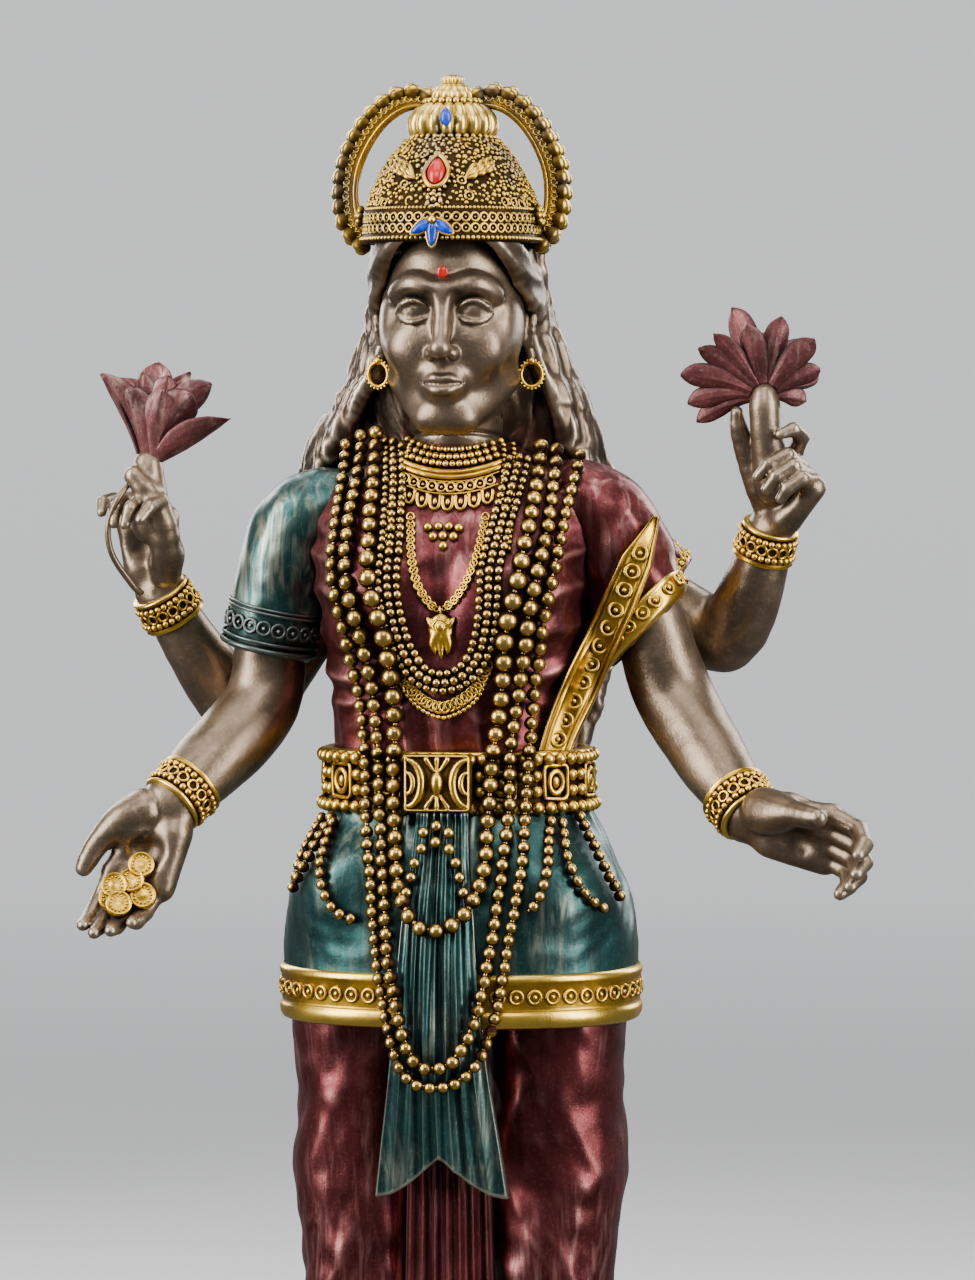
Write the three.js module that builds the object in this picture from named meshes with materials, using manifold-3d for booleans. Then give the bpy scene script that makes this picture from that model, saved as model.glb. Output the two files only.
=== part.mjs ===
// Four-armed standing deity statue: cold-cast castings glued on pegs, with relief jewellery, on a lotus base.
// Millimetres, +Z up. The origin is the centre of the base's underside, and the figure faces -Y.
import * as THREE from "three";
import { mergeVertices } from "three/addons/utils/BufferGeometryUtils.js";
import Module from "manifold-3d";

const wasm = await Module();
wasm.setup();

// ---- Driving dimensions ----
const GAP = 0.35; // clearance between neighbouring castings
const PAD_THICKNESS = 1.2;
const BASE_RADIUS = 36;
const BASE_TOP = 27;
const ANKLE_Z = 36.5;
const HEM_Z = 131; // lower edge of the tunic skirt
const HEM_BAND_TOP = 138.6; // upper edge of the gold band above it
const BELT_LOW = 160.8;
const BELT_HIGH = 169.4;
const NECK_Z = 211;
const CROWN_RIM_Z = 241;
const TOTAL_HEIGHT = 265;
const PEG_RADIUS = 3;
const SKIN_PLATE = 1.1; // thickness of a band or border that lies on a casting

// ---- Cross-section tables: [z, half width, half depth, centre y, centre x] ----
const TORSO = [
  [160.5, 17.2, 12.4, 0, 0.6],
  [166, 16.9, 12.2, 0, 0.5],
  [174, 17.2, 12.4, -0.2, 0.3],
  [183, 18.4, 13.3, -0.8, 0.1],
  [191, 19.6, 14.6, -1.2, 0],
  [198, 20.4, 13.2, -0.4, 0],
  [203, 20.6, 11.2, 0.6, 0],
  [207, 17.6, 9.4, 1.2, 0],
  [210, 12.6, 7.8, 1.6, 0],
  [NECK_Z + 1.5, 9, 7, 1.8, 0],
];
const TUNIC = [
  [HEM_Z, 25.1, 19.2, 0, 0.9],
  [137, 25.3, 19.4, 0, 0.9],
  [147, 24.4, 18.6, 0, 0.8],
  [154, 21.8, 16.8, 0, 0.7],
  [BELT_LOW - GAP, 18.3, 14.2, 0, 0.6],
];
const LEG = [
  [ANKLE_Z + 0.5, 8.2, 8.8, 0.5, 0],
  [43, 7, 7.6, 0.6, 0],
  [55, 7, 8, 0.8, 0],
  [68, 7.8, 9, 1.1, 0],
  [80, 7.8, 9, 0.3, 0],
  [93, 8.5, 9.8, -0.8, 0],
  [104, 9.4, 10.8, -0.6, 0],
  [111, 9.8, 11.2, -0.3, 0],
  [120, 9.3, 11.6, 0, 0],
  [HEM_Z - GAP, 9.5, 12.2, 0, 0],
];
const PLEATS = [
  [37.5, 9.4, 4, -5, 0.6],
  [70, 7, 4, -6, 0.7],
  [110, 5.6, 4.4, -8, 0.8],
  [HEM_Z - GAP, 5, 4.4, -8, 0.8],
];
const SKULL = [
  [213.6, 3.6, 3.2, -6.6, 0],
  [216, 6, 7.4, -3.4, 0],
  [221, 8.3, 10.6, -1.2, 0],
  [228, 9.7, 12.2, 0, 0],
  [235, 10.3, 12.9, 0.4, 0],
  [241, 9.9, 12.5, 0.8, 0],
  [245, 7.6, 9.8, 1, 0],
  [247.4, 3, 4, 1.2, 0],
];
const CROWN_CAP = [
  [CROWN_RIM_Z, 12.4, 15.2, 0.6, -0.4],
  [245.5, 12, 14.8, 0.7, -0.4],
  [249.5, 10.6, 13, 0.8, -0.4],
  [253, 8.6, 10.4, 0.9, -0.4],
  [255.6, 6.5, 7.2, 1, -0.4],
];
const BUN = [
  [255.95, 6, 6.4, 1, -0.4],
  [258, 6.8, 7.2, 1, -0.4],
  [260.6, 5, 5.4, 1, -0.4],
];
const MANE = [
  [150, 9, 2.4, 20.5, 0],
  [158, 14, 3.2, 19.6, 0],
  [168, 17.4, 4, 17.6, 0],
  [182, 19.4, 4.6, 16.6, 0],
  [196, 21.4, 5, 15, 0],
  [207, 21.4, 5.6, 11.6, 0],
  [215, 17.6, 7, 9.2, 0],
  [224, 15, 8.4, 8, 0],
  [233, 12.8, 9.4, 7, 0],
  [240.4, 11.8, 10, 5.6, 0],
];
const SECTION_POWER = 2.3; // superellipse exponent of a clothed or bodily section

// ---- Limbs as [x, y, z, radius] along a curve ----
const RIGHT_FRONT_ARM = [
  [-26, 1, 192, 4.3],
  [-27.2, 1.8, 184, 4.6],
  [-28, 1.6, 176.5, 5.1],
  [-33.2, -3.6, 168.6, 4.7],
  [-38.6, -9.8, 161.9, 3.5],
];
const LEFT_FRONT_ARM = [
  [26.4, 1, 193, 4.3],
  [28.2, 1.8, 185, 4.8],
  [30.9, 1.8, 177, 5.2],
  [36.9, -4, 168.6, 4.6],
  [42.8, -10, 161.2, 3.5],
];
const RIGHT_REAR_ARM = [
  [-11, 8.5, 199, 3.6],
  [-21, 11.5, 189, 4.4],
  [-28.6, 13, 177, 4.6],
  [-31.6, 11.8, 172.6, 4.6],
  [-36.6, 8.4, 181, 4.2],
  [-41.4, 4, 190.6, 3.2],
];
const LEFT_REAR_ARM = [
  [11, 8.5, 201, 3.6],
  [22, 11, 194, 4.4],
  [32, 12.4, 187, 4.8],
  [38, 11, 184.4, 5],
  [41.8, 7.6, 191, 4.3],
  [44.6, 4.3, 200.2, 3.2],
];
const RIGHT_SLEEVE = [
  [-17, 0.6, 203, 5.6],
  [-22.4, 0.8, 200, 6],
  [-25, 1, 192.5, 6],
  [-27, 1.4, 183, 6.1],
];
const LEFT_SLEEVE = [
  [16.6, 0.6, 203, 6],
  [22.6, 0.6, 200.4, 6.6],
  [25.6, 0.8, 193, 6.8],
  [27.4, 1.2, 184.4, 6.6],
];
const RIGHT_LOCK = [
  [-10.6, 2.5, 238, 2],
  [-11.6, 3.2, 228, 2.6],
  [-12.4, 4.4, 219, 3],
  [-15, 6, 212.5, 3],
  [-20, 8, 208.5, 2.4],
];
const LEFT_LOCK = [
  [10.6, 2.5, 238, 2],
  [12.4, 3.2, 229, 2.8],
  [14.6, 4.4, 220, 3.2],
  [17.6, 6, 213, 3],
  [21, 8, 208.5, 2.4],
];

// ---- Hands: wrist point, direction of the fingers, direction that the palm faces, thumb side ----
const BRACELET_BORE = 4.25;
const HANDS = {
  right_front: {
    wrist: [-39.3, -10.6, 161],
    along: [-9.2, -4.4, -18.4],
    palm: [0, -0.97, 0.24],
    side: 1,
    curl: 0.36,
    scale: 1.1,
  },
  left_front: {
    wrist: [43.6, -10.9, 160.4],
    along: [19, -3.5, -4.2],
    palm: [0.05, -0.84, -0.52],
    side: -1,
    curl: 0.55,
    scale: 1.12,
  },
  right_rear: {
    wrist: [-42, 3.4, 191.6],
    along: [-2.6, -3.4, 17],
    palm: [-0.75, -0.65, -0.2],
    side: 1,
    curl: 0.95,
    scale: 1,
  },
  left_rear: {
    wrist: [44.8, 3.8, 201.2],
    along: [0.5, -0.35, 0.78],
    palm: [-0.6, -0.75, 0.1],
    side: -1,
    curl: 0.95,
    scale: 0.95,
  },
};

// ---- Jewellery lines on the front of the body: [x, z] points down the right side, then up the left ----
const STRANDS = {
  long_strand_inner: {
    radius: 1.3,
    steps: 32,
    line: [
      [-9.8, 208], [-10, 197], [-9.3, 190], [-7.2, 181], [-6.2, 172], [-5.8, 160], [-5.2, 153.5],
      [-3.8, 148], [0.2, 145], [4.8, 148], [6.6, 154], [6.9, 162], [7.6, 172], [8.7, 181],
      [10.8, 193], [12.6, 208],
    ],
  },
  long_strand_middle: {
    radius: 1.05,
    steps: 36,
    line: [
      [-12.4, 207.5], [-13, 198], [-12.4, 190], [-10.1, 181], [-8.8, 172], [-8, 158], [-6.8, 146],
      [-4.8, 135], [-3.2, 128.6], [0.2, 126], [4, 128.6], [6.3, 136.5], [8, 146], [9.6, 158],
      [9.9, 170], [11.8, 184], [13.8, 197], [15, 206.5],
    ],
  },
  long_strand_outer: {
    radius: 0.95,
    steps: 38,
    line: [
      [-14.8, 206.5], [-15.2, 199], [-14.2, 190], [-12.4, 181], [-10.9, 172], [-10.2, 160], [-8.8, 146],
      [-6.6, 133.6], [-4, 125.4], [0.2, 123.2], [4.8, 125.2], [8.2, 133], [10, 143], [11.8, 154],
      [12.1, 166], [13.2, 182], [15.6, 196.6], [17, 204],
    ],
  },
  chest_bead_rope: {
    radius: 0.9,
    steps: 22,
    line: [
      [-7.2, 208.5], [-7, 199], [-6.8, 190], [-4.6, 183], [0.2, 179.2], [4.8, 182.6], [6.8, 190],
      [8, 199], [9.3, 207.6],
    ],
  },
  pendant_chain: {
    radius: 0.5,
    steps: 18,
    line: [
      [-4.9, 201.6], [-4.2, 195.6], [-2.4, 191], [0, 189.2], [2.3, 191.2], [4, 196], [5.1, 202],
    ],
  },
  lace_chain: {
    radius: 0.5,
    steps: 18,
    line: [
      [-6.6, 183.4], [-4.4, 178.8], [0, 176.4], [4.4, 178.8], [6.6, 183.4],
    ],
  },
};
const HIP_SWAGS = {
  right_hip_swag: {
    radius: 0.85,
    steps: 22,
    line: [
      [-17, 159], [-18.6, 153], [-17.6, 148], [-15, 145.6], [-12.6, 146.6],
    ],
  },
  left_hip_swag: {
    radius: 0.85,
    steps: 22,
    line: [
      [18, 159], [19.4, 153], [18.4, 148], [15.8, 145.8], [13.2, 147],
    ],
  },
};

// ---- Materials ----
const finish = (color, roughness, metalness) =>
  new THREE.MeshStandardMaterial({ color, roughness, metalness });
const BRONZE = finish(0x7a6650, 0.38, 0.9);
const HAIR_BRONZE = finish(0x4d4338, 0.45, 0.9);
const GOLD = finish(0xc79a3c, 0.32, 0.95);
const MAROON = finish(0x6d2a2c, 0.4, 0.7);
const TEAL = finish(0x1f4f50, 0.4, 0.7);
const PETAL = finish(0x6e3f3f, 0.5, 0.5);
const RED = finish(0xb01818, 0.25, 0);
const BLUE = finish(0x1f4fb8, 0.25, 0);
const FELT = finish(0x22261f, 0.95, 0);

// ---- Solids from three.js geometry ----
const vec = (p) => new THREE.Vector3(...p);

function solid(geometry) {
  const bare = geometry.clone();
  bare.deleteAttribute("normal");
  bare.deleteAttribute("uv");
  const merged = mergeVertices(bare, 1e-4);
  const vertProperties = merged.attributes.position.array;
  const build = (triVerts) => new wasm.Manifold(new wasm.Mesh({ numProp: 3, vertProperties, triVerts }));
  const triVerts = new Uint32Array(merged.index.array);
  const made = build(triVerts);
  return made.volume() < 0 ? build(triVerts.reverse()) : made;
}

function geometryOf(shape) {
  const mesh = shape.getMesh();
  const geometry = new THREE.BufferGeometry();
  geometry.setAttribute("position", new THREE.BufferAttribute(new Float32Array(mesh.vertProperties), 3));
  geometry.setIndex(new THREE.BufferAttribute(new Uint32Array(mesh.triVerts), 1));
  geometry.computeVertexNormals();
  return geometry;
}

// The largest of the bodies that a cut leaves.
const largest = (shape) => shape.decompose().sort((a, b) => b.volume() - a.volume())[0];
const join = (...shapes) => shapes.reduce((a, b) => a.add(b));
const cut = (shape, ...cutters) => largest(cutters.reduce((a, b) => a.subtract(b), shape));

// A closed shape whose disc points (u, v) at each height t, from 0 to 1, are placed by the function.
function sweep(sides, rings, place) {
  const geometry = new THREE.CylinderGeometry(1, 1, 1, sides, rings);
  const position = geometry.attributes.position;
  for (let i = 0; i < position.count; i++) {
    const p = place(position.getY(i) + 0.5, position.getX(i), position.getZ(i));
    position.setXYZ(i, p.x, p.y, p.z);
  }
  return solid(geometry);
}

// Catmull-Rom value of a table's columns at height z.
function sectionAt(table, z) {
  const last = table.length - 1;
  let i = table.findIndex((row) => row[0] > z) - 1;
  if (i < 0) i = z <= table[0][0] ? 0 : last - 1;
  const t = THREE.MathUtils.clamp((z - table[i][0]) / (table[i + 1][0] - table[i][0]), 0, 1);
  const row = (k) => table[THREE.MathUtils.clamp(k, 0, last)];
  return table[0].slice(1).map((_, c) => {
    const [a, b, d, e] = [row(i - 1)[c + 1], row(i)[c + 1], row(i + 1)[c + 1], row(i + 2)[c + 1]];
    return b + 0.5 * t * (d - a + t * (2 * a - 5 * b + 4 * d - e + t * (3 * (b - d) + e - a)));
  });
}

// A body with level superelliptical sections. grow thickens it all round for a cutter.
function column(table, options = {}) {
  const { grow = 0, sides = 16, rings = 8, x = 0, ends = grow } = options;
  const { low = table[0][0], high = table.at(-1)[0] } = options;
  const power = 2 / SECTION_POWER;
  return sweep(sides, rings, (t, u, v) => {
    const z = low + t * (high - low);
    const [halfWidth, halfDepth, y0, x0] = sectionAt(table, z);
    const reach = Math.hypot(u, v);
    const angle = Math.atan2(v, u);
    const bulge = (c) => Math.sign(c) * Math.abs(c) ** power;
    return new THREE.Vector3(
      x + x0 + reach * (halfWidth + grow) * bulge(Math.cos(angle)),
      y0 - reach * (halfDepth + grow) * bulge(Math.sin(angle)),
      z + (t <= 0 ? -ends : t >= 1 ? ends : 0),
    );
  });
}

// A limb: a round section of changing radius along a curve. flat squeezes it along the given direction.
function limb(points, { grow = 0, sides = 12, rings = 10, flat = null, squeeze = 1 } = {}) {
  const curve = new THREE.CatmullRomCurve3(points.map(vec), false, "centripetal");
  const radii = points.map((p) => p[3]);
  const reference = flat ? vec(flat).normalize() : new THREE.Vector3(0.3, 1, 0.2).normalize();
  return sweep(sides, rings, (t, u, v) => {
    const at = t * (radii.length - 1);
    const k = Math.min(Math.floor(at), radii.length - 2);
    const radius = THREE.MathUtils.lerp(radii[k], radii[k + 1], at - k) + grow;
    const centre = curve.getPoint(t);
    const tangent = curve.getTangent(t);
    const across = new THREE.Vector3().crossVectors(tangent, reference).normalize();
    const through = new THREE.Vector3().crossVectors(across, tangent);
    return centre
      .addScaledVector(across, u * radius)
      .addScaledVector(through, v * (radius * squeeze + (1 - squeeze) * grow))
      .addScaledVector(tangent, t <= 0 ? -grow : t >= 1 ? grow : 0);
  });
}

function lathe(points, segments = 24) {
  const outline = points.map((p) => new THREE.Vector2(...p));
  return solid(new THREE.LatheGeometry(outline, segments).rotateX(Math.PI / 2));
}

function peg(x, y, low, high, radius, sides = 12) {
  const geometry = new THREE.CylinderGeometry(radius, radius, high - low, sides);
  return solid(geometry.rotateX(Math.PI / 2).translate(x, y, (low + high) / 2));
}

function ball(centre, radii, { grow = 0, sides = 6, rings = 4, turn = [0, 0, 0] } = {}) {
  const geometry = new THREE.SphereGeometry(1, sides, rings);
  geometry.scale(...radii.map((r) => r + grow));
  geometry.applyQuaternion(new THREE.Quaternion().setFromEuler(new THREE.Euler(...turn)));
  return solid(geometry.translate(...centre));
}

const UP = new THREE.Vector3(0, 0, 1);
const turnUpTo = (axis) => new THREE.Quaternion().setFromUnitVectors(UP, vec(axis).normalize());

function hoop(centre, axis, major, minor, { sides = 8, segments = 20 } = {}) {
  const geometry = new THREE.TorusGeometry(major, minor, sides, segments);
  return solid(geometry.applyQuaternion(turnUpTo(axis)).translate(...centre));
}

function slab(size, centre) {
  return solid(new THREE.BoxGeometry(...size).translate(...centre));
}

// ---- Castings, each as a function of its growth ----
const rightSleeve = (grow) => limb(RIGHT_SLEEVE, { grow, rings: 6 });
const leftSleeve = (grow) => limb(LEFT_SLEEVE, { grow, rings: 6 });
const RIGHT_LEG_X = -13.2;
const LEFT_LEG_X = 14.9;
const torso = (grow, range = {}) => column(TORSO, { grow, ...range });
const tunic = (grow, range = {}) => column(TUNIC, { grow, sides: 20, rings: 5, ...range });
const leg = (x, grow, range = {}) => column(LEG, { grow, x, sides: 14, rings: 8, ...range });

// y of the front of a table's section at (x, z), or null beside it.
function frontOf(table, x, z, grow) {
  if (z < table[0][0] || z > table.at(-1)[0]) return null;
  const [halfWidth, halfDepth, y0, x0] = sectionAt(table, z);
  const share = Math.abs(x - x0) / (halfWidth + grow);
  if (share >= 1) return null;
  return y0 - (halfDepth + grow) * (1 - share ** SECTION_POWER) ** (1 / SECTION_POWER);
}

const BELT_RISE = 3.2; // how far the belt stands out from the torso
const SASH_THICKNESS = 1.8;
const SASH_TAIL_Z = 106;
const SASH_HALF = [[SASH_TAIL_Z, 9], [118, 8], [HEM_Z, 6.6], [BELT_LOW, 5.6]]; // [z, half width]
const sashHalf = (z) => sectionAt(SASH_HALF, z)[0];
const SASH_HANG = [[SASH_TAIL_Z - 4, -15.4], [118, -19], [HEM_Z, -21], [142, -21]]; // [z, y] of its back

function sashBack(z) {
  return z < 142 ? sectionAt(SASH_HANG, z)[0] : frontOf(TUNIC, 0, Math.min(z, 160.4), SKIN_PLATE + GAP);
}

// y of the foremost surface under a bead at (x, z).
function bodyFront(x, z) {
  const faces = [
    frontOf(TORSO, x, z, 0),
    frontOf(TUNIC, x, z, z < 142 ? SKIN_PLATE + GAP : 0),
    z > BELT_LOW - 1 && z < BELT_HIGH + 1 ? frontOf(TORSO, x, z, BELT_RISE) : null,
    Math.abs(x) < sashHalf(z) + 1 && z < BELT_LOW ? sashBack(z) - SASH_THICKNESS : null,
    Math.abs(x) < 6 && z > BELT_LOW - 1 && z < BELT_HIGH + 1 ? -18.4 : null,
    z < HEM_Z ? sashBack(z) : null,
  ];
  return Math.min(...faces.filter((y) => y !== null));
}

// A bead strand as one smooth cord lying on the front of the body.
function strand({ line, radius, steps }) {
  const onPlan = line.map(([x, z]) => new THREE.Vector3(x, 0, z));
  const plan = new THREE.CatmullRomCurve3(onPlan, false, "centripetal");
  const reach = radius * 1.25;
  const around = [-2, -1, 0, 1, 2].flatMap((up) => [-1, 0, 1].map((over) => [over * reach, up * reach]));
  const points = plan.getPoints(steps).map((p) => {
    const faces = around.map(([dx, dz]) => bodyFront(p.x + dx, p.z + dz)).filter(Number.isFinite);
    return [p.x, Math.min(...faces) - radius - GAP, p.z, radius];
  });
  return limb(points, { sides: 5, rings: steps, flat: [0, 1, 0] });
}

// ---- Base ----
const FOOT_TURN = 0.16;
const FOOT_X = { right: -11.6, left: 12.9 };
const SOCKET_DEPTH = 6;
const CORE_RADIUS = 29.5;
const PETAL_RING = { count: 14, inner: CORE_RADIUS + GAP };
const LOWER_PETALS = { ...PETAL_RING, outer: 34, root: 14.4, tip: 3.4, lean: 1.8 };
const UPPER_PETALS = { ...PETAL_RING, outer: 33.6, root: 14.9, tip: BASE_TOP - 0.3, lean: 1.6 };

function lotusCore() {
  const low = PAD_THICKNESS + 0.3;
  const profile = [
    [0, low],
    [BASE_RADIUS - 2, low],
    [BASE_RADIUS - 2, low + 1],
    [CORE_RADIUS, low + 1.4],
    [CORE_RADIUS, BASE_TOP],
    [0, BASE_TOP],
  ];
  const bottom = BASE_TOP - SOCKET_DEPTH - GAP;
  const sockets = Object.values(FOOT_X).map((x) => peg(x, 0, bottom, BASE_TOP + 1, PEG_RADIUS + GAP));
  return cut(lathe(profile), ...sockets);
}

// A ring of petals as one band whose outer side and free edge are scalloped.
function petalBand({ count, inner, outer, root, tip, lean }) {
  const geometry = new THREE.TorusGeometry(1, 0.5, 5, count * 4);
  const position = geometry.attributes.position;
  for (let i = 0; i < position.count; i++) {
    const [px, py, pz] = [position.getX(i), position.getY(i), position.getZ(i)];
    const angle = Math.atan2(py, px);
    const crest = Math.sqrt(Math.abs(Math.cos((angle * count) / 2)));
    const [out, up] = [Math.hypot(px, py) - 0.5, pz + 0.5];
    const z = root + up * (tip - root) * (0.62 + 0.38 * crest);
    const r = inner + out * (outer - inner) * (0.5 + 0.5 * crest) + up * lean;
    position.setXYZ(i, r * Math.cos(angle), r * Math.sin(angle), z);
  }
  return solid(geometry);
}

// ---- Feet ----
const shank = (x, grow) =>
  limb(
    [[x, 2, BASE_TOP + 3.4, 4], [x, 1, ANKLE_Z - 4, 3.9], [x, 0.8, ANKLE_Z, 4.3]],
    { grow, sides: 10, rings: 3 },
  );

function foot(side, grow = 0) {
  const x = FOOT_X[side];
  const out = side === "right" ? -1 : 1;
  const sole = BASE_TOP + GAP;
  const ahead = (d, z, r) => [x + out * d * FOOT_TURN, 4 - d, z, r];
  const body = limb(
    [
      ahead(-3, sole + 3.4, 2.6),
      ahead(2, sole + 3.8, 3.8),
      ahead(10, sole + 3, 3.7),
      ahead(16, sole + 2, 3.6),
      ahead(19, sole + 1.7, 2.6),
    ],
    { grow, sides: 10, rings: 6, flat: [0, 0, 1], squeeze: 0.8 },
  );
  const toes = [0, 1, 2, 3, 4].map((k) => {
    const across = (k - 2) * 1.65 * -out;
    const length = 21 - 0.55 * Math.abs(k) - (k > 2 ? 0.6 * (k - 2) : 0);
    const centre = [x + out * length * FOOT_TURN + across, 4 - length, sole + 1.3];
    return ball(centre, [0.95, 2.4, 1.1], { grow, sides: 5, rings: 4 });
  });
  const flush = slab([60, 90, 20], [x, 0, sole - 10]);
  const shaped = cut(join(body, ...toes, shank(x, grow)), flush);
  const basePeg = peg(x, 0, BASE_TOP - SOCKET_DEPTH, sole + 4, PEG_RADIUS + grow);
  const anklePeg = peg(x, 0.8, ANKLE_Z - 2, ANKLE_Z + 6, 2.4 + grow);
  return join(shaped, basePeg, anklePeg);
}

// ---- Hands ----
function hand({ wrist, along, palm, side, curl, scale }, grip) {
  const a = vec(along).normalize();
  const n = vec(palm).addScaledVector(a, -vec(palm).dot(a)).normalize();
  const s = new THREE.Vector3().crossVectors(a, n).multiplyScalar(side);
  const at = (d, across, out, r) => {
    const p = vec(wrist).addScaledVector(a, d * scale);
    p.addScaledVector(s, across * scale).addScaledVector(n, out * scale);
    return [p.x, p.y, p.z, r * scale];
  };
  const flat = n.toArray();
  const palmLine = [
    at(-2.5, 0, 0, 3.2),
    at(1, 0, 0, 3.5),
    at(5, 0.2, 0.1, 4.3),
    at(9, 0, 0.2, 4.2),
    at(10.6, 0, 0.3, 3.4),
  ];
  const parts = [limb(palmLine, { sides: 8, rings: 5, flat, squeeze: 0.48 })];
  for (let k = 0; k < 4; k++) {
    const across = (1.5 - k) * 1.95;
    const length = [8.4, 9.2, 8.6, 7][k];
    const bend = grip && k === 0 ? 0.25 : curl;
    const points = [at(8.6, across, 0.2, 1.1)];
    let [d, out, angle] = [9.8, 0.3, bend * 0.4];
    for (const share of [0.44, 0.32, 0.24]) {
      d += length * share * Math.cos(angle);
      out += length * share * Math.sin(angle);
      angle += bend;
      points.push(at(d, across * (1 + 0.012 * d), out, 0.98 - 0.06 * points.length));
    }
    parts.push(limb(points, { sides: 5, rings: 3, flat }));
  }
  const thumb = grip
    ? [at(2.4, 2.6, 0.8, 1.7), at(6, 4.4, 2.2, 1.4), at(9.6, 4, 3.4, 1.1), at(13, 3, 2.8, 0.9)]
    : [at(2.4, 2.6, 0.6, 1.8), at(5, 5, 1.4, 1.45), at(7.6, 7, 1.8, 1.2), at(10.4, 8.2, 1.8, 0.9)];
  parts.push(limb(thumb, { sides: 5, rings: 4, flat }));
  return join(...parts);
}

const armRoot = (points, grow) => limb(points, { grow, sides: 10, rings: 8 });
const arm = (points, name, grip) => join(armRoot(points, 0), hand(HANDS[name], grip));

function bracelet(points) {
  const [near, wrist] = [vec(points.at(-2)), vec(points.at(-1))];
  const axis = wrist.clone().sub(near).normalize();
  const at = (d, r) => [...wrist.clone().addScaledVector(axis, d - 2.2).toArray(), r];
  const bore = limb([at(-6, 5), at(0, BRACELET_BORE), at(6, BRACELET_BORE)], { sides: 12, rings: 2 });
  return cut(limb([at(-2.4, 5.2), at(0, 4.9), at(2.4, 4.9)], { sides: 12, rings: 2 }), bore);
}

// ---- Lotus flowers ----
function flower(base, axis, rows) {
  const aim = turnUpTo(axis);
  const petals = rows.flatMap(({ count, lean, length, width, lift, phase }) =>
    [...Array(count).keys()].map((i) => {
      const geometry = new THREE.SphereGeometry(1, 5, 3).rotateX(Math.PI / 2);
      geometry.scale(width, 0.75, length / 2);
      geometry.translate(0, 0, length / 2 + 0.4).rotateX(lean).translate(0, 0, lift);
      geometry.rotateZ(((i + phase) / count) * 2 * Math.PI).applyQuaternion(aim).translate(...base);
      return solid(geometry);
    }));
  const tip = vec(base).addScaledVector(vec(axis).normalize(), 3.4);
  const tail = vec(base).addScaledVector(vec(axis).normalize(), -1.6);
  const core = [[...tail.toArray(), 1.5], [...base, 2.1], [...tip.toArray(), 2.4]];
  const calyx = limb(core, { sides: 8, rings: 3 });
  return join(calyx, ...petals);
}

// ---- Offerings ----
const COIN_RADIUS = 1.9;
const COIN_FACING = [0, -0.95, 0.3];
const COINS = [[-43.6, -16.9, 152.6], [-45.2, -18.2, 150.2], [-43, -18.2, 149], [-46.2, -19.2, 147.4]];

const BUD_ROWS = [
  { count: 6, lean: 0.62, length: 14.6, width: 3.1, lift: 0, phase: 0 },
  { count: 4, lean: 0.34, length: 13.6, width: 2.9, lift: 0.6, phase: 0.5 },
];
const OPEN_ROWS = [
  { count: 8, lean: 1.25, length: 10.6, width: 2, lift: 0, phase: 0 },
  { count: 6, lean: 0.75, length: 10.4, width: 2, lift: 0.4, phase: 0.5 },
  { count: 3, lean: 0.3, length: 9.6, width: 2, lift: 0.8, phase: 0.2 },
];

// ---- Build, from the ground up ----
const group = new THREE.Group();

function add(name, shape, material) {
  const mesh = new THREE.Mesh(geometryOf(shape), material);
  mesh.name = name;
  group.add(mesh);
}

function buildBase() {
  add("felt_pad", peg(0, 0, 0, PAD_THICKNESS, BASE_RADIUS - 2.5, 32), FELT);
  add("lotus_core", lotusCore(), BRONZE);
  add("lower_petals", petalBand(LOWER_PETALS), PETAL);
  add("upper_petals", petalBand(UPPER_PETALS), PETAL);
  const beadRing = hoop([0, 0, BASE_TOP + GAP + 0.9], [0, 0, 1], 28.4, 0.9, { sides: 5, segments: 24 });
  add("base_bead_ring", beadRing, GOLD);
}

function buildLegs() {
  for (const side of ["right", "left"]) {
    add(`${side}_foot`, foot(side), BRONZE);
    const x = FOOT_X[side];
    const anklet = hoop([x, 1, 35], [0, 0, 1], 5.2, 0.9, { sides: 5, segments: 14 });
    add(`${side}_anklet`, cut(anklet, shank(x, GAP)), GOLD);
  }
  const hips = { right: RIGHT_LEG_X, left: LEFT_LEG_X };
  // The legs stand a little apart at the hem and closer at the ankle.
  const shaped = (side, grow, range) => {
    const lean = (FOOT_X[side] - hips[side]) / (HEM_Z - ANKLE_Z);
    return leg(hips[side], grow, range).warp((v) => {
      v[0] += (HEM_Z - v[2]) * lean;
    });
  };
  const pleats = column(PLEATS, { sides: 14, rings: 6 });
  for (const side of ["right", "left"]) {
    const ankle = peg(FOOT_X[side], 0.8, ANKLE_Z - 2, ANKLE_Z + 6 + GAP, 2.4 + GAP);
    const dowel = peg(hips[side], 0, HEM_Z - 3, HEM_Z + SOCKET_DEPTH, PEG_RADIUS);
    add(`${side}_leg`, join(cut(shaped(side, 0), ankle), dowel), MAROON);
  }
  const cuff = { low: 37.6, high: 42, rings: 2 };
  const clear = ["right", "left"].map((side) => shaped(side, SKIN_PLATE + GAP));
  add("front_pleats", cut(pleats, ...clear), MAROON);
  for (const side of ["right", "left"]) {
    const outer = shaped(side, SKIN_PLATE, { ...cuff, ends: 0 });
    add(`${side}_leg_cuff`, cut(outer, shaped(side, GAP * 0.9, { ends: 2 })), GOLD);
  }
  return join(shaped("right", GAP), shaped("left", GAP));
}

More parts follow.
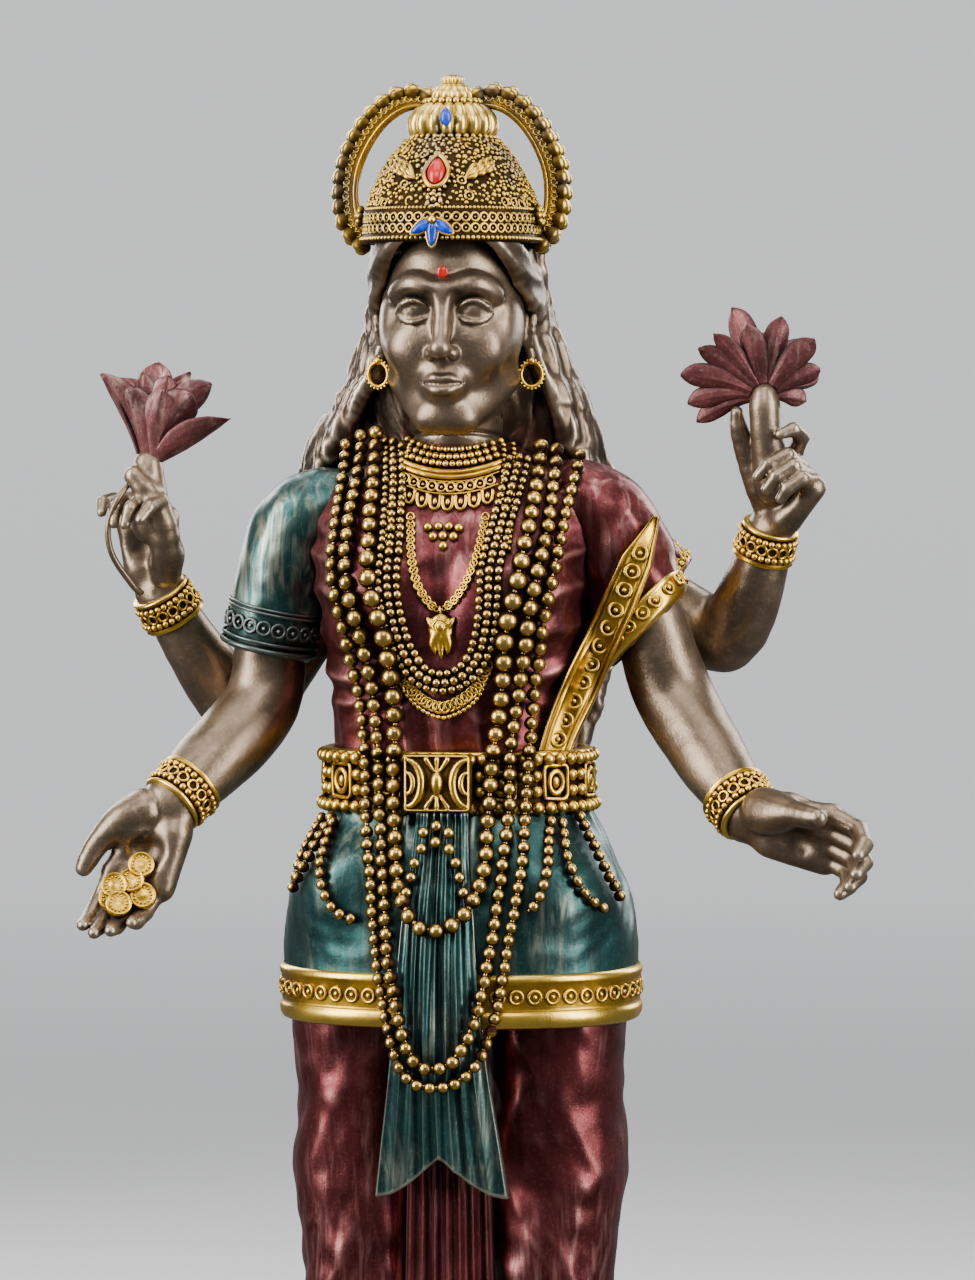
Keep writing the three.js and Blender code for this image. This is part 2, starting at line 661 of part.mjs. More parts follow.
function buildSkirt(legsClear) {
  const hips = [RIGHT_LEG_X, LEFT_LEG_X];
  const sockets = hips.map((x) => peg(x, 0, HEM_Z - 1, HEM_Z + SOCKET_DEPTH + GAP, PEG_RADIUS + GAP));
  const waistSocket = peg(0.6, 0, BELT_LOW - 7, BELT_LOW + 1, 5 + GAP, 16);
  add("tunic", cut(tunic(0), ...sockets, waistSocket), TEAL);
  const hemRange = { low: HEM_Z + 0.2, high: HEM_BAND_TOP, rings: 3 };
  add("tunic_hem", cut(tunic(SKIN_PLATE, { ...hemRange, ends: 0 }), tunic(GAP * 0.9, { ends: 2 })), GOLD);
  const sash = sweep(18, 9, (t, u, v) => {
    const reach = Math.hypot(u, v);
    const angle = Math.atan2(v, u);
    const across = reach * Math.cos(angle);
    const notch = (1 - t) * (2.2 * Math.abs(across) - 3);
    const z = SASH_TAIL_Z + t * (BELT_LOW - GAP - SASH_TAIL_Z) - notch;
    const through = reach * Math.sign(Math.sin(angle)) * Math.abs(Math.sin(angle)) ** 0.35;
    const y = sashBack(z) - (SASH_THICKNESS / 2) * (1 + through);
    return new THREE.Vector3(across * sashHalf(z) + 0.4, y, z);
  });
  const hemClear = tunic(SKIN_PLATE + GAP, { ends: 0, low: HEM_Z - 0.2, high: HEM_BAND_TOP + GAP });
  const pleatsClear = column(PLEATS, { grow: GAP, sides: 14, rings: 6 });
  add("sash", cut(sash, hemClear, tunic(GAP), legsClear, pleatsClear), TEAL);
}

function buildBody() {
  const rearRoots = [armRoot(RIGHT_REAR_ARM, GAP), armRoot(LEFT_REAR_ARM, GAP)];
  const neckSocket = peg(0, 1.8, NECK_Z - 7, NECK_Z + 3, 4 + GAP, 14);
  const waistPeg = peg(0.6, 0, BELT_LOW - 6.5, BELT_LOW + 1, 5, 16);
  const body = cut(torso(0, { rings: 9 }), ...rearRoots, neckSocket, slab([60, 60, 10], [0, 0, NECK_Z + 5]));
  add("torso", join(body, waistPeg), MAROON);
  const beltRange = { low: BELT_LOW, high: BELT_HIGH, rings: 2, ends: 0 };
  add("belt", cut(torso(BELT_RISE, beltRange), torso(GAP, { rings: 9 })), GOLD);
  const beltClear = torso(BELT_RISE + GAP, { ...beltRange, ends: 2 });
  add("belt_buckle", cut(slab([9.6, 3, 8.2], [0, -16.9, 165.2]), beltClear), GOLD);
  const torsoClear = torso(GAP, { rings: 9 });
  const drapeBand = (grow, thick, low, high, shift) =>
    sweep(4, 8, (t, u, v) => {
      const z = low + t * (high - low);
      const x = 12.2 + (z - 169) * 0.33 + shift;
      const out = (frontOf(TORSO, Math.min(x, 19), z, 0) ?? -6) - GAP - thick / 2;
      return new THREE.Vector3(x + u * (2.6 + grow) * 1.4, out - v * (thick / 2 + grow) * 1.4, z);
    });
  add("right_sleeve", cut(rightSleeve(0), torsoClear, armRoot(RIGHT_FRONT_ARM, GAP), ...rearRoots), TEAL);
  add("left_drape", cut(leftSleeve(0), torsoClear, armRoot(LEFT_FRONT_ARM, GAP), ...rearRoots), MAROON);
  const border = cut(drapeBand(0, 1.5, 170.2, 199, 0.4), torsoClear, leftSleeve(GAP));
  add("drape_border", border, GOLD);
  const cuffs = { right: [RIGHT_SLEEVE, TEAL, rightSleeve], left: [LEFT_SLEEVE, GOLD, leftSleeve] };
  for (const [side, [points, material, sleeve]] of Object.entries(cuffs)) {
    const [a, b] = [vec(points.at(-2)), vec(points.at(-1))];
    const at = (share, extra) => [...a.clone().lerp(b, share).toArray(), points.at(-1)[3] + extra];
    const ring = limb([at(0.62, 0.95), at(0.8, 0.95), at(0.98, 0.95)], { rings: 2 });
    add(`${side}_sleeve_border`, cut(ring, sleeve(GAP * 0.8), torsoClear, ...rearRoots,
      side === "left" ? drapeBand(GAP, 1.5, 170, 200, 0.4) : armRoot(RIGHT_FRONT_ARM, GAP)), material);
  }
}

function buildArms() {
  const arms = {
    right_front: [RIGHT_FRONT_ARM, false],
    left_front: [LEFT_FRONT_ARM, false],
    right_rear: [RIGHT_REAR_ARM, true],
    left_rear: [LEFT_REAR_ARM, true],
  };
  const frontClear = { right_rear: armRoot(RIGHT_FRONT_ARM, GAP), left_rear: armRoot(LEFT_FRONT_ARM, GAP) };
  for (const [name, [points, grip]] of Object.entries(arms)) {
    const whole = arm(points, name, grip);
    const shape = name in frontClear ? cut(whole, frontClear[name]) : whole;
    add(`${name}_arm`, shape, BRONZE);
    add(`${name}_bracelet`, bracelet(points), GOLD);
  }
}

function buildOfferings() {
  const pile = COINS.map((centre) => {
    const coin = new THREE.CylinderGeometry(COIN_RADIUS, COIN_RADIUS, 1.4, 10).rotateX(Math.PI / 2);
    return solid(coin.applyQuaternion(turnUpTo(COIN_FACING)).translate(...centre));
  });
  const clearOfHand = (name, grip) => {
    const { wrist, ...rest } = HANDS[name];
    const shift = vec(rest.palm).normalize().multiplyScalar(GAP);
    const moved = { ...rest, wrist: vec(wrist).add(shift).toArray() };
    return hand(moved, grip).add(hand(HANDS[name], grip));
  };
  add("coins", cut(join(...pile), clearOfHand("right_front", false)), GOLD);
  const rightHand = clearOfHand("right_rear", true);
  const leftHand = clearOfHand("left_rear", true);
  add("right_lotus", cut(flower([-44.4, -0.6, 210], [0.12, -0.06, 1], BUD_ROWS), rightHand), PETAL);
  add("left_lotus", cut(flower([44.3, -0.8, 219], [-0.2, -0.5, 0.8], OPEN_ROWS), leftHand), PETAL);
}

function buildHead() {
  const skull = (grow) => column(SKULL, { grow, sides: 16, rings: 10 });
  const neck = (grow) =>
    limb(
      [[0, 1.8, NECK_Z + GAP, 6.4], [0, 1.8, 214, 5.9], [0, 1.4, 220, 6.2]],
      { grow, sides: 14, rings: 3 },
    );
  const ears = (grow) =>
    join(ball([-10.2, 1.2, 228], [1, 2, 3.2], { grow }), ball([10.2, 1.2, 228], [1, 2, 3.2], { grow }));
  const nose = [[0, -11.6, 231, 0.8], [0, -12.6, 227, 1.2], [0, -13.2, 224.6, 1.6], [0, -11.4, 223.4, 1.2]];
  const head = largest(join(
    skull(0),
    neck(0),
    peg(0, 1.8, NECK_Z - 6.5, NECK_Z + 3, 4, 14),
    limb(nose, { sides: 8, rings: 4 }),
    ears(0),
    ball([0, -10.6, 220], [2.6, 1.2, 1.3]),
  ));
  add("head", head, BRONZE);
  const headClear = join(skull(GAP), neck(GAP), ears(GAP));
  const shoulders = [torso(GAP, { rings: 9 }), rightSleeve(GAP), leftSleeve(GAP)];
  const rearRoots = [armRoot(RIGHT_REAR_ARM, GAP), armRoot(LEFT_REAR_ARM, GAP)];
  const lock = { sides: 8, rings: 6 };
  const mane = join(column(MANE, { sides: 16, rings: 9 }), limb(RIGHT_LOCK, lock), limb(LEFT_LOCK, lock));
  const beltClear = torso(BELT_RISE + GAP, { low: BELT_LOW, high: BELT_HIGH, rings: 2, ends: GAP });
  add("hair", cut(mane, headClear, ...shoulders, ...rearRoots, beltClear, tunic(GAP)), HAIR_BRONZE);

  const cap = (grow) => column(CROWN_CAP, { grow, sides: 24, rings: 6, ends: 0 });
  const bun = (grow) => column(BUN, { grow, sides: 16, rings: 3 });
  add("crown_cap", cut(cap(0), headClear), GOLD);
  add("crown_bun", bun(0), GOLD);
  const finial = [[0, 260.95], [2.9, 260.95], [2.6, 262.6], [1.6, 264.4], [0, TOTAL_HEIGHT]];
  add("crown_finial", lathe(finial, 12).translate([-0.4, 1, 0]), GOLD);
  const arc = [
    [12.8, 3.6, 240.4, 1.5],
    [15.3, 3.4, 246.5, 1.9],
    [15, 3.2, 251.5, 1.9],
    [12.8, 3, 256.6, 1.8],
    [9.6, 2.8, 260.2, 1.6],
    [7.4, 2.6, 261.6, 1.2],
  ];
  const hairClear = column(MANE, { grow: GAP, sides: 16, rings: 9 });
  const bowClear = join(cap(GAP), bun(GAP), headClear);
  for (const [side, out] of [["right", -1], ["left", 1]]) {
    const line = arc.map(([x, y, z, r]) => [out * x - 0.4, y, z, r]);
    const bow = limb(line, { sides: 8, rings: 12, flat: [0, 1, 0] });
    add(`crown_bow_${side}`, cut(bow, bowClear, hairClear), GOLD);
  }
  add("crown_red_gem", cut(ball([-0.4, -12.6, 250], [1.35, 1.6, 2.3]), cap(GAP)), RED);
  add("crown_blue_gem", cut(ball([-0.4, -6.4, 258.6], [1, 1.2, 1.4]), bun(GAP)), BLUE);
  const drops = [-1, 0, 1].map((k) => {
    const centre = [-0.4 + 1.5 * k, -15.2, 242.2 + 0.4 * Math.abs(k)];
    return ball(centre, [0.95, 1.1, 2.2], { turn: [0, -0.45 * k, 0] });
  });
  add("crown_blue_petals", cut(join(...drops), cap(GAP), headClear), BLUE);
  add("bindi", cut(ball([0, -12.6, 235.6], [0.9, 0.8, 0.9]), skull(GAP * 0.8)), RED);
  for (const [side, out] of [["right", -1], ["left", 1]]) {
    const ring = hoop([out * 11.2, 0, 222.2], [0.3 * out, 1, 0], 1.6, 0.5, { sides: 6, segments: 10 });
    add(`${side}_earring`, ring, GOLD);
  }
}

function buildJewellery() {
  const beltPlate = [torso(BELT_RISE + GAP, { low: BELT_LOW, high: BELT_HIGH, rings: 2, ends: GAP })];
  for (const [name, spec] of Object.entries(STRANDS)) add(name, strand(spec), GOLD);
  for (const [name, spec] of Object.entries(HIP_SWAGS)) add(name, cut(strand(spec), ...beltPlate), GOLD);
  const pendantY = bodyFront(0, 185) - GAP - 0.7;
  add("pendant", ball([0, pendantY, 185.2], [1.9, 0.7, 2.9], { sides: 8, rings: 6 }), GOLD);
  const choker = sweep(8, 12, (t, u, v) => {
    const angle = (t - 0.5) * 2.4;
    const z = 207.2 + 2.6 * (1 - Math.cos(angle)) + u * 2.2;
    const x = 7.6 * Math.sin(angle);
    const front = frontOf(TORSO, x, Math.min(z + 1.4, NECK_Z), 0) ?? 0;
    return new THREE.Vector3(x, front - GAP - 1 - v * 0.8, z);
  });
  add("choker", cut(choker, torso(GAP, { rings: 9 }), peg(0, 1.8, NECK_Z, NECK_Z + 9, 6.4 + GAP, 14)), GOLD);
}

buildBase();
const legsClear = buildLegs();
buildSkirt(legsClear);
buildBody();
buildArms();
buildOfferings();
buildHead();
buildJewellery();

export default group;
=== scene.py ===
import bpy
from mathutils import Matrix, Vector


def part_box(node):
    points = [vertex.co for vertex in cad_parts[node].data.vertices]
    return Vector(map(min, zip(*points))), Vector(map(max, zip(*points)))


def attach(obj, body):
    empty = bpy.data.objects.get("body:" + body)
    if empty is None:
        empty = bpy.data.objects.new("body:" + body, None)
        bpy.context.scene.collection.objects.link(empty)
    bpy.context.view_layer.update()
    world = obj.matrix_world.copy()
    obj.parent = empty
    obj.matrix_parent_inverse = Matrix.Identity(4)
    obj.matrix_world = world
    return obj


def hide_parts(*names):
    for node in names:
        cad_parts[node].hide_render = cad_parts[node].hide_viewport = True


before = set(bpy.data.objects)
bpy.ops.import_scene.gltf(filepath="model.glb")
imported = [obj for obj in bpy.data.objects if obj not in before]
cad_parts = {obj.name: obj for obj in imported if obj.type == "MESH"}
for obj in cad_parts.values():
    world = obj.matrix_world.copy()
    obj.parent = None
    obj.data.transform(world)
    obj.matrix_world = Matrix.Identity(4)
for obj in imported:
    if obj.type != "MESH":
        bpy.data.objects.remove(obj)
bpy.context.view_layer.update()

import math

import bpy
import numpy as np
from mathutils import Vector
from mathutils.bvhtree import BVHTree

# Lengths below are in millimetres, in the CAD's frame. MM turns them into Blender's metres.
MM = 0.001
FINE = 1.0
FAR = 6.0  # distance that a block of clay holds where nothing is near
CURVE_STEPS = 24  # points that a curve takes between two of its knots
scene = bpy.context.scene


# ---------------------------------------------------------------- curves and small maths
def arr(*v):
    return np.array(v, float)


def unit(v):
    v = np.asarray(v, float)
    return v / np.maximum(np.linalg.norm(v, axis=-1, keepdims=True), 1e-12)


def spline(points, count):
    """count points, evenly spaced in length, on a Catmull-Rom curve through rows of any width."""
    p = np.asarray(points, float)
    p = np.vstack([2 * p[0] - p[1], p, 2 * p[-1] - p[-2]])
    rows = []
    for i in range(1, len(p) - 2):
        a, b, c, d = p[i - 1], p[i], p[i + 1], p[i + 2]
        t = np.linspace(0, 1, CURVE_STEPS, endpoint=False)[:, None]
        rows.append(b + 0.5 * t * (c - a + t * (2 * a - 5 * b + 4 * c - d + t * (3 * (b - c) + d - a))))
    rows = np.vstack(rows + [p[-2:-1]])
    step = np.linalg.norm(np.diff(rows[:, :3], axis=0), axis=1)
    s = np.concatenate([[0], np.cumsum(step)])
    at = np.linspace(0, s[-1], count)
    return np.stack([np.interp(at, s, rows[:, k]) for k in range(rows.shape[1])], 1)


def turns(count):
    """count angles, evenly spaced round a circle."""
    return np.linspace(0, 2 * math.pi, count, endpoint=False)


def frames(line, up):
    """Tangent, side and normal unit vectors along a line, the normal as near to up as it can be."""
    t = unit(np.gradient(line[:, :3], axis=0))
    side = unit(np.cross(t, np.broadcast_to(np.asarray(up, float), t.shape)))
    return t, side, np.cross(side, t)


def smoothstep(a, b, x):
    t = np.clip((x - a) / (b - a), 0, 1)
    return t * t * (3 - 2 * t)


def column_at(table, z):
    """Half width, half depth, centre y and centre x of a section table at heights z."""
    rows = np.array(table, float)
    dense = np.linspace(rows[0, 0], rows[-1, 0], 200)
    out = []
    for c in range(1, rows.shape[1]):
        slope = np.gradient(rows[:, c], rows[:, 0])
        i = np.clip(np.searchsorted(rows[:, 0], dense, "right") - 1, 0, len(rows) - 2)
        h = rows[i + 1, 0] - rows[i, 0]
        t = (dense - rows[i, 0]) / h
        value = ((2 * t**3 - 3 * t**2 + 1) * rows[i, c] + (t**3 - 2 * t**2 + t) * h * slope[i]
                 + (3 * t**2 - 2 * t**3) * rows[i + 1, c] + (t**3 - t**2) * h * slope[i + 1])
        out.append(np.interp(z, dense, value))
    return out


# ---------------------------------------------------------------- clay: forms on a grid of distances
class Clay:
    """A block of voxels that holds the distance to a form. Forms are pressed on, blended in or cut away."""

    def __init__(self, low, high, step):
        self.low, self.step = np.array(low, float), step * FINE
        count = np.ceil((np.array(high, float) - self.low) / self.step).astype(int) + 2
        self.axes = [(self.low[k] + self.step * np.arange(count[k])).astype(np.float32) for k in range(3)]
        self.field = np.full(count, FAR, np.float32)

    def part(self, low, high, margin):
        cuts = []
        for k in range(3):
            a = int(np.clip((low[k] - margin - self.low[k]) / self.step, 0, self.field.shape[k]))
            b = int(np.clip((high[k] + margin - self.low[k]) / self.step + 2, 0, self.field.shape[k]))
            cuts.append(slice(a, b))
        grid = [self.axes[k][cuts[k]] for k in range(3)]
        return tuple(cuts), (grid[0][:, None, None], grid[1][None, :, None], grid[2][None, None, :])

    def put(self, form, blend=0.6, cut=False):
        distance, low, high = form
        cuts, (x, y, z) = self.part(low, high, blend + 2.5 * self.step + 0.6)
        old = self.field[cuts]
        if old.size == 0:
            return self
        new = distance(x, y, z).astype(np.float32)
        if cut:
            new, old = -new, old
            h = np.clip(0.5 + 0.5 * (new - old) / max(blend, 1e-3), 0, 1)
            self.field[cuts] = old + (new - old) * h + blend * h * (1 - h)
        else:
            h = np.clip(0.5 + 0.5 * (old - new) / max(blend, 1e-3), 0, 1)
            self.field[cuts] = old + (new - old) * h - blend * h * (1 - h)
        return self

    def mesh(self, smooth=1):
        return nets(self.field, self.low, self.step, smooth)


def egg(centre, radii, turn=None):
    c, r = np.array(centre, float), np.array(radii, float)
    m = None if turn is None else np.array(turn, float)

    def distance(x, y, z):
        p = [x - c[0], y - c[1], z - c[2]]
        if m is not None:
            p = [m[k][0] * p[0] + m[k][1] * p[1] + m[k][2] * p[2] for k in range(3)]
        q = np.sqrt((p[0] / r[0]) ** 2 + (p[1] / r[1]) ** 2 + (p[2] / r[2]) ** 2)
        g = np.sqrt((p[0] / r[0] ** 2) ** 2 + (p[1] / r[1] ** 2) ** 2 + (p[2] / r[2] ** 2) ** 2)
        return q * (q - 1) / np.maximum(g, 1e-6)

    reach = r if m is None else np.full(3, r.max())
    return distance, c - reach, c + reach


def rod(a, b, ra, rb=None):
    a, b = np.array(a, float), np.array(b, float)
    rb = ra if rb is None else rb
    d = b - a
    n = max(float(d @ d), 1e-9)

    def distance(x, y, z):
        px, py, pz = x - a[0], y - a[1], z - a[2]
        t = np.clip((px * d[0] + py * d[1] + pz * d[2]) / n, 0, 1)
        return np.sqrt((px - t * d[0]) ** 2 + (py - t * d[1]) ** 2 + (pz - t * d[2]) ** 2) - (ra
                + (rb - ra) * t)

    r = max(ra, rb)
    return distance, np.minimum(a, b) - r, np.maximum(a, b) + r


def brick(centre, half, axes=((1, 0, 0), (0, 1, 0), (0, 0, 1)), edge=0.3):
    c, h, m = np.array(centre, float), np.array(half, float) - edge, np.array(axes, float)

    def distance(x, y, z):
        p = [x - c[0], y - c[1], z - c[2]]
        q = [np.abs(m[k][0] * p[0] + m[k][1] * p[1] + m[k][2] * p[2]) - h[k] for k in range(3)]
        outside = np.sqrt(sum(np.maximum(v, 0) ** 2 for v in q))
        return outside + np.minimum(np.maximum(np.maximum(q[0], q[1]), q[2]), 0) - edge

    reach = np.abs(m.T) @ (h + edge)
    return distance, c - reach, c + reach


def torus(centre, axis, major, minor):
    c, a = np.array(centre, float), unit(np.array(axis, float))

    def distance(x, y, z):
        p = [x - c[0], y - c[1], z - c[2]]
        h = a[0] * p[0] + a[1] * p[1] + a[2] * p[2]
        q = np.sqrt(np.maximum(p[0] ** 2 + p[1] ** 2 + p[2] ** 2 - h * h, 0)) - major
        return np.sqrt(q * q + h * h) - minor

    return distance, c - major - minor, c + major + minor


def stem(clay, points, count=14, blend=0.5, cut=False):
    """A tapering tube along points [x, y, z, radius], pressed on as a chain."""
    line = spline(points, count)
    for a, b in zip(line[:-1], line[1:]):
        clay.put(rod(a[:3], b[:3], a[3], b[3]), blend, cut)
    return clay


def sections(table, power=2.3, grow=0.0, low=None, high=None):
    """A body with level superelliptical sections, as a form."""
    low = table[0][0] if low is None else low
    high = table[-1][0] if high is None else high
    widest = [max(abs(r[4]) + r[1] for r in table), max(abs(r[3]) + r[2] for r in table)]

    def distance(x, y, z):
        hw, hd, y0, x0 = column_at(table, z[0, 0])
        hw, hd, y0, x0 = (v[None, None, :] for v in (hw + grow, hd + grow, y0, x0))
        q = (np.abs((x - x0) / hw) ** power + np.abs((y - y0) / hd) ** power) ** (1 / power)
        side = (q - 1) * np.minimum(hw, hd)
        ends = np.maximum(low - grow - z, z - high - grow)
        return np.maximum(side, ends)

    w, d = widest[0] + grow, widest[1] + grow
    return distance, arr(-w, -d, low - grow), arr(w, d, high + grow)


def nets(field, low, step, smooth):
    """Naive surface nets: vertices and quads of the zero surface of a field."""
    inside = field < 0
    corners = [(i, j, k) for i in (0, 1) for j in (0, 1) for k in (0, 1)]
    n = [s - 1 for s in field.shape]
    count = sum(inside[i:i + n[0], j:j + n[1], k:k + n[2]].astype(np.uint8) for i, j, k in corners)
    cells = np.argwhere((count > 0) & (count < 8))
    number = np.full(n, -1, np.int32)
    number[tuple(cells.T)] = np.arange(len(cells))
    value = {c: field[cells[:, 0] + c[0], cells[:, 1] + c[1], cells[:, 2] + c[2]] for c in corners}
    total, hits = np.zeros((len(cells), 3)), np.zeros(len(cells))
    for axis in range(3):
        for c in corners:
            if c[axis]:
                continue
            e = tuple(v + (k == axis) for k, v in enumerate(c))
            a, b = value[c], value[e]
            crosses = (a < 0) != (b < 0)
            t = np.where(crosses, a / np.where(crosses, a - b, 1), 0)
            point = np.array(c, float)[None] + t[:, None] * np.eye(3)[axis]
            total += point * crosses[:, None]
            hits += crosses
    verts = np.array(low) + step * (cells + total / hits[:, None])
    quads = []
    for axis in range(3):
        u, v = (axis + 1) % 3, (axis + 2) % 3
        here = [slice(0, n[k]) for k in range(3)]
        there = list(here)
        there[axis] = slice(1, n[axis] + 1)
        a, b = inside[tuple(here)], inside[tuple(there)]
        edges = np.argwhere(a != b)
        edges = edges[(edges[:, u] > 0) & (edges[:, v] > 0)]
        flip = a[tuple(edges.T)]
        back_u, back_v = np.eye(3, dtype=int)[u], np.eye(3, dtype=int)[v]
        ids = [number[tuple((edges - o).T)] for o in (0 * back_u, back_u, back_u + back_v, back_v)]
        q = np.stack(ids, 1)
        quads.append(np.where(flip[:, None], q, q[:, ::-1]))
    quads = np.vstack(quads)
    quads = quads[(quads >= 0).all(1)]
    for _ in range(smooth):
        verts = relax(verts, quads, 0.5)
    return verts, quads


# ---------------------------------------------------------------- mesh helpers
def edges_of(faces):
    k = faces.shape[1]
    return np.concatenate([faces[:, [i, (i + 1) % k]] for i in range(k)])


def relax(verts, faces, amount, times=1):
    e = edges_of(faces)
    a, b = np.concatenate([e[:, 0], e[:, 1]]), np.concatenate([e[:, 1], e[:, 0]])
    degree = np.maximum(np.bincount(a, minlength=len(verts)), 1)
    for _ in range(times):
        mean = np.stack([np.bincount(a, verts[b, k], len(verts)) for k in range(3)], 1) / degree[:, None]
        verts = verts + amount * (mean - verts)
    return verts


def normals(verts, faces):
    p = verts[faces]
    n = np.cross(p[:, 2] - p[:, 0], p[:, -1] - p[:, 1])
    out = np.zeros_like(verts)
    for k in range(faces.shape[1]):
        for c in range(3):
            out[:, c] += np.bincount(faces[:, k], n[:, c], len(verts))
    return unit(out)


def hollows(verts, faces, reach=8, gain=1.0):
    """How far each vertex lies below its smoothed surroundings: above 0 in a groove, below 0 on a ridge."""
    soft = relax(verts, faces, 0.6, reach)
    return np.einsum("ij,ij->i", soft - verts, normals(verts, faces)) * gain


def object_from(name, verts, faces, material, attributes=None, replaces=(), flat=False):
    """A piece from vertices in millimetres and faces: one array of quads or triangles, or a list of them."""
    faces = faces if isinstance(faces, list) else [faces]
    mesh = bpy.data.meshes.new(name)
    mesh.vertices.add(len(verts))
    mesh.vertices.foreach_set("co", (np.asarray(verts) * MM).astype(np.float32).ravel())
    loops = np.concatenate([f.ravel() for f in faces]).astype(np.int32)
    sizes = np.concatenate([np.full(len(f), f.shape[1], np.int32) for f in faces])
    mesh.loops.add(len(loops))
    mesh.loops.foreach_set("vertex_index", loops)
    mesh.polygons.add(len(sizes))
    mesh.polygons.foreach_set("loop_start", np.concatenate([[0], np.cumsum(sizes)[:-1]]).astype(np.int32))
    mesh.update(calc_edges=True)
    mesh.polygons.foreach_set("use_smooth", np.full(len(sizes), not flat))
    for key, value in (attributes or {}).items():
        mesh.attributes.new(key, "FLOAT", "POINT").data.foreach_set("value", np.asarray(value, np.float32))
    mesh.materials.append(material)
    obj = bpy.data.objects.new(name, mesh)
    scene.collection.objects.link(obj)
    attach(obj, "root")
    if replaces:
        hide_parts(*replaces)
    return obj


class Pile:
    """Many small meshes gathered into one piece."""

    def __init__(self):
        self.verts, self.quads, self.tris, self.worn, self.count = [], [], [], [], 0

    def add(self, verts, quads=None, tris=None, worn=None):
        self.verts.append(verts)
        if quads is not None and len(quads):
            self.quads.append(quads + self.count)
        if tris is not None and len(tris):
            self.tris.append(tris + self.count)
        self.worn.append(np.zeros(len(verts)) if worn is None else worn)
        self.count += len(verts)

    def add_solid(self, verts, quads, reach, gain, lift=0.0):
        self.add(verts, outward(verts, quads), None, hollows(verts, quads, reach, gain) + lift)

    def build(self, name, material, slot, replaces=()):
        faces = [np.vstack(f) for f in (self.quads, self.tris) if f]
        return object_from(name, np.vstack(self.verts), faces, material,
                           {"worn": np.concatenate(self.worn)}, replaces)


def ball_mesh(rings=8, sides=12):
    """Unit sphere round z: vertices, quads, triangles."""
    a = np.linspace(0, math.pi, rings + 1)[1:-1]
    b = turns(sides)
    body = np.stack([np.outer(np.sin(a), np.cos(b)), np.outer(np.sin(a), np.sin(b)),
                     np.outer(np.cos(a), np.ones(sides))], -1).reshape(-1, 3)
    verts = np.vstack([[0, 0, 1], body, [0, 0, -1]])
    i, j = np.meshgrid(np.arange(rings - 2), np.arange(sides), indexing="ij")
    n = (j + 1) % sides
    quads = np.stack([1 + i * sides + j, 1 + (i + 1) * sides + j, 1 + (i + 1) * sides + n,
                      1 + i * sides + n], -1)
    j = np.arange(sides)
    top = np.stack([0 * j, 1 + j, 1 + (j + 1) % sides], -1)
    base = 1 + (rings - 2) * sides
    foot = np.stack([0 * j + len(verts) - 1, base + (j + 1) % sides, base + j], -1)
    return verts, quads.reshape(-1, 4), np.vstack([top, foot])


def grid_quads(rows, columns, wrap_rows=False):
    """Quads of a grid of points whose rows are rings. wrap_rows joins the last ring to the first."""
    i, j = np.meshgrid(np.arange(rows if wrap_rows else rows - 1), np.arange(columns), indexing="ij")
    o, q = (i + 1) % rows, (j + 1) % columns
    return np.stack([i * columns + j, i * columns + q, o * columns + q, o * columns + j], -1).reshape(-1, 4)


def capped(grid, ends=None):
    """Vertices, quads and end fans of a body made of rings. ends: the two middle points, if known."""
    k, m = grid.shape[:2]
    j = np.arange(m)
    n, last = (j + 1) % m, (k - 1) * m
    fans = np.vstack([np.stack([0 * j + k * m, n, j], -1),
                      np.stack([0 * j + k * m + 1, last + j, last + n], -1)])
    ends = [grid[0].mean(0), grid[-1].mean(0)] if ends is None else ends
    return np.vstack([grid.reshape(-1, 3), *ends]), grid_quads(k, m), fans


def tube_mesh(line, radii, up, sides=8, flat=1.0, closed=False):
    """Tube round a line. Ends are closed with fans, unless the line is a closed loop."""
    t, side, normal = frames(line, up)
    if closed:
        t = unit(np.roll(line, -1, 0) - np.roll(line, 1, 0))
        side = unit(np.cross(t, np.broadcast_to(np.asarray(up, float), t.shape)))
        normal = np.cross(side, t)
    a = turns(sides)
    r = np.broadcast_to(np.asarray(radii, float), (len(line),))[:, None, None]
    verts = line[:, None, :3] + r * (np.cos(a)[None, :, None] * side[:, None]
                                     + flat * np.sin(a)[None, :, None] * normal[:, None])
    if closed:
        return verts.reshape(-1, 3), grid_quads(len(line), sides, True), np.zeros((0, 3), int)
    return capped(verts, [line[0, :3], line[-1, :3]])


def ring_mesh(major=1.0, minor=0.3, segments=14, sides=6):
    a = turns(segments)
    line = np.stack([major * np.cos(a), major * np.sin(a), 0 * a], 1)
    return tube_mesh(line, minor, (0, 0, 1), sides, closed=True)[:2]


def grid_solid(front, back):
    """A closed sheet between two (n, m, 3) grids of points."""
    n, m = front.shape[:2]
    verts = np.vstack([front.reshape(-1, 3), back.reshape(-1, 3)])
    i, j = np.meshgrid(np.arange(n - 1), np.arange(m - 1), indexing="ij")
    f = np.stack([i * m + j, (i + 1) * m + j, (i + 1) * m + j + 1, i * m + j + 1], -1).reshape(-1, 4)
    rim = np.concatenate([np.arange(m - 1), (np.arange(n - 1) * m + m - 1),
                          (n - 1) * m + np.arange(m - 1, 0, -1), np.arange(n - 1, 0, -1) * m])
    nxt = np.roll(rim, -1)
    o = n * m
    wall = np.stack([rim, nxt, nxt + o, rim + o], -1)
    return verts, np.vstack([f, f[:, ::-1] + o, wall])


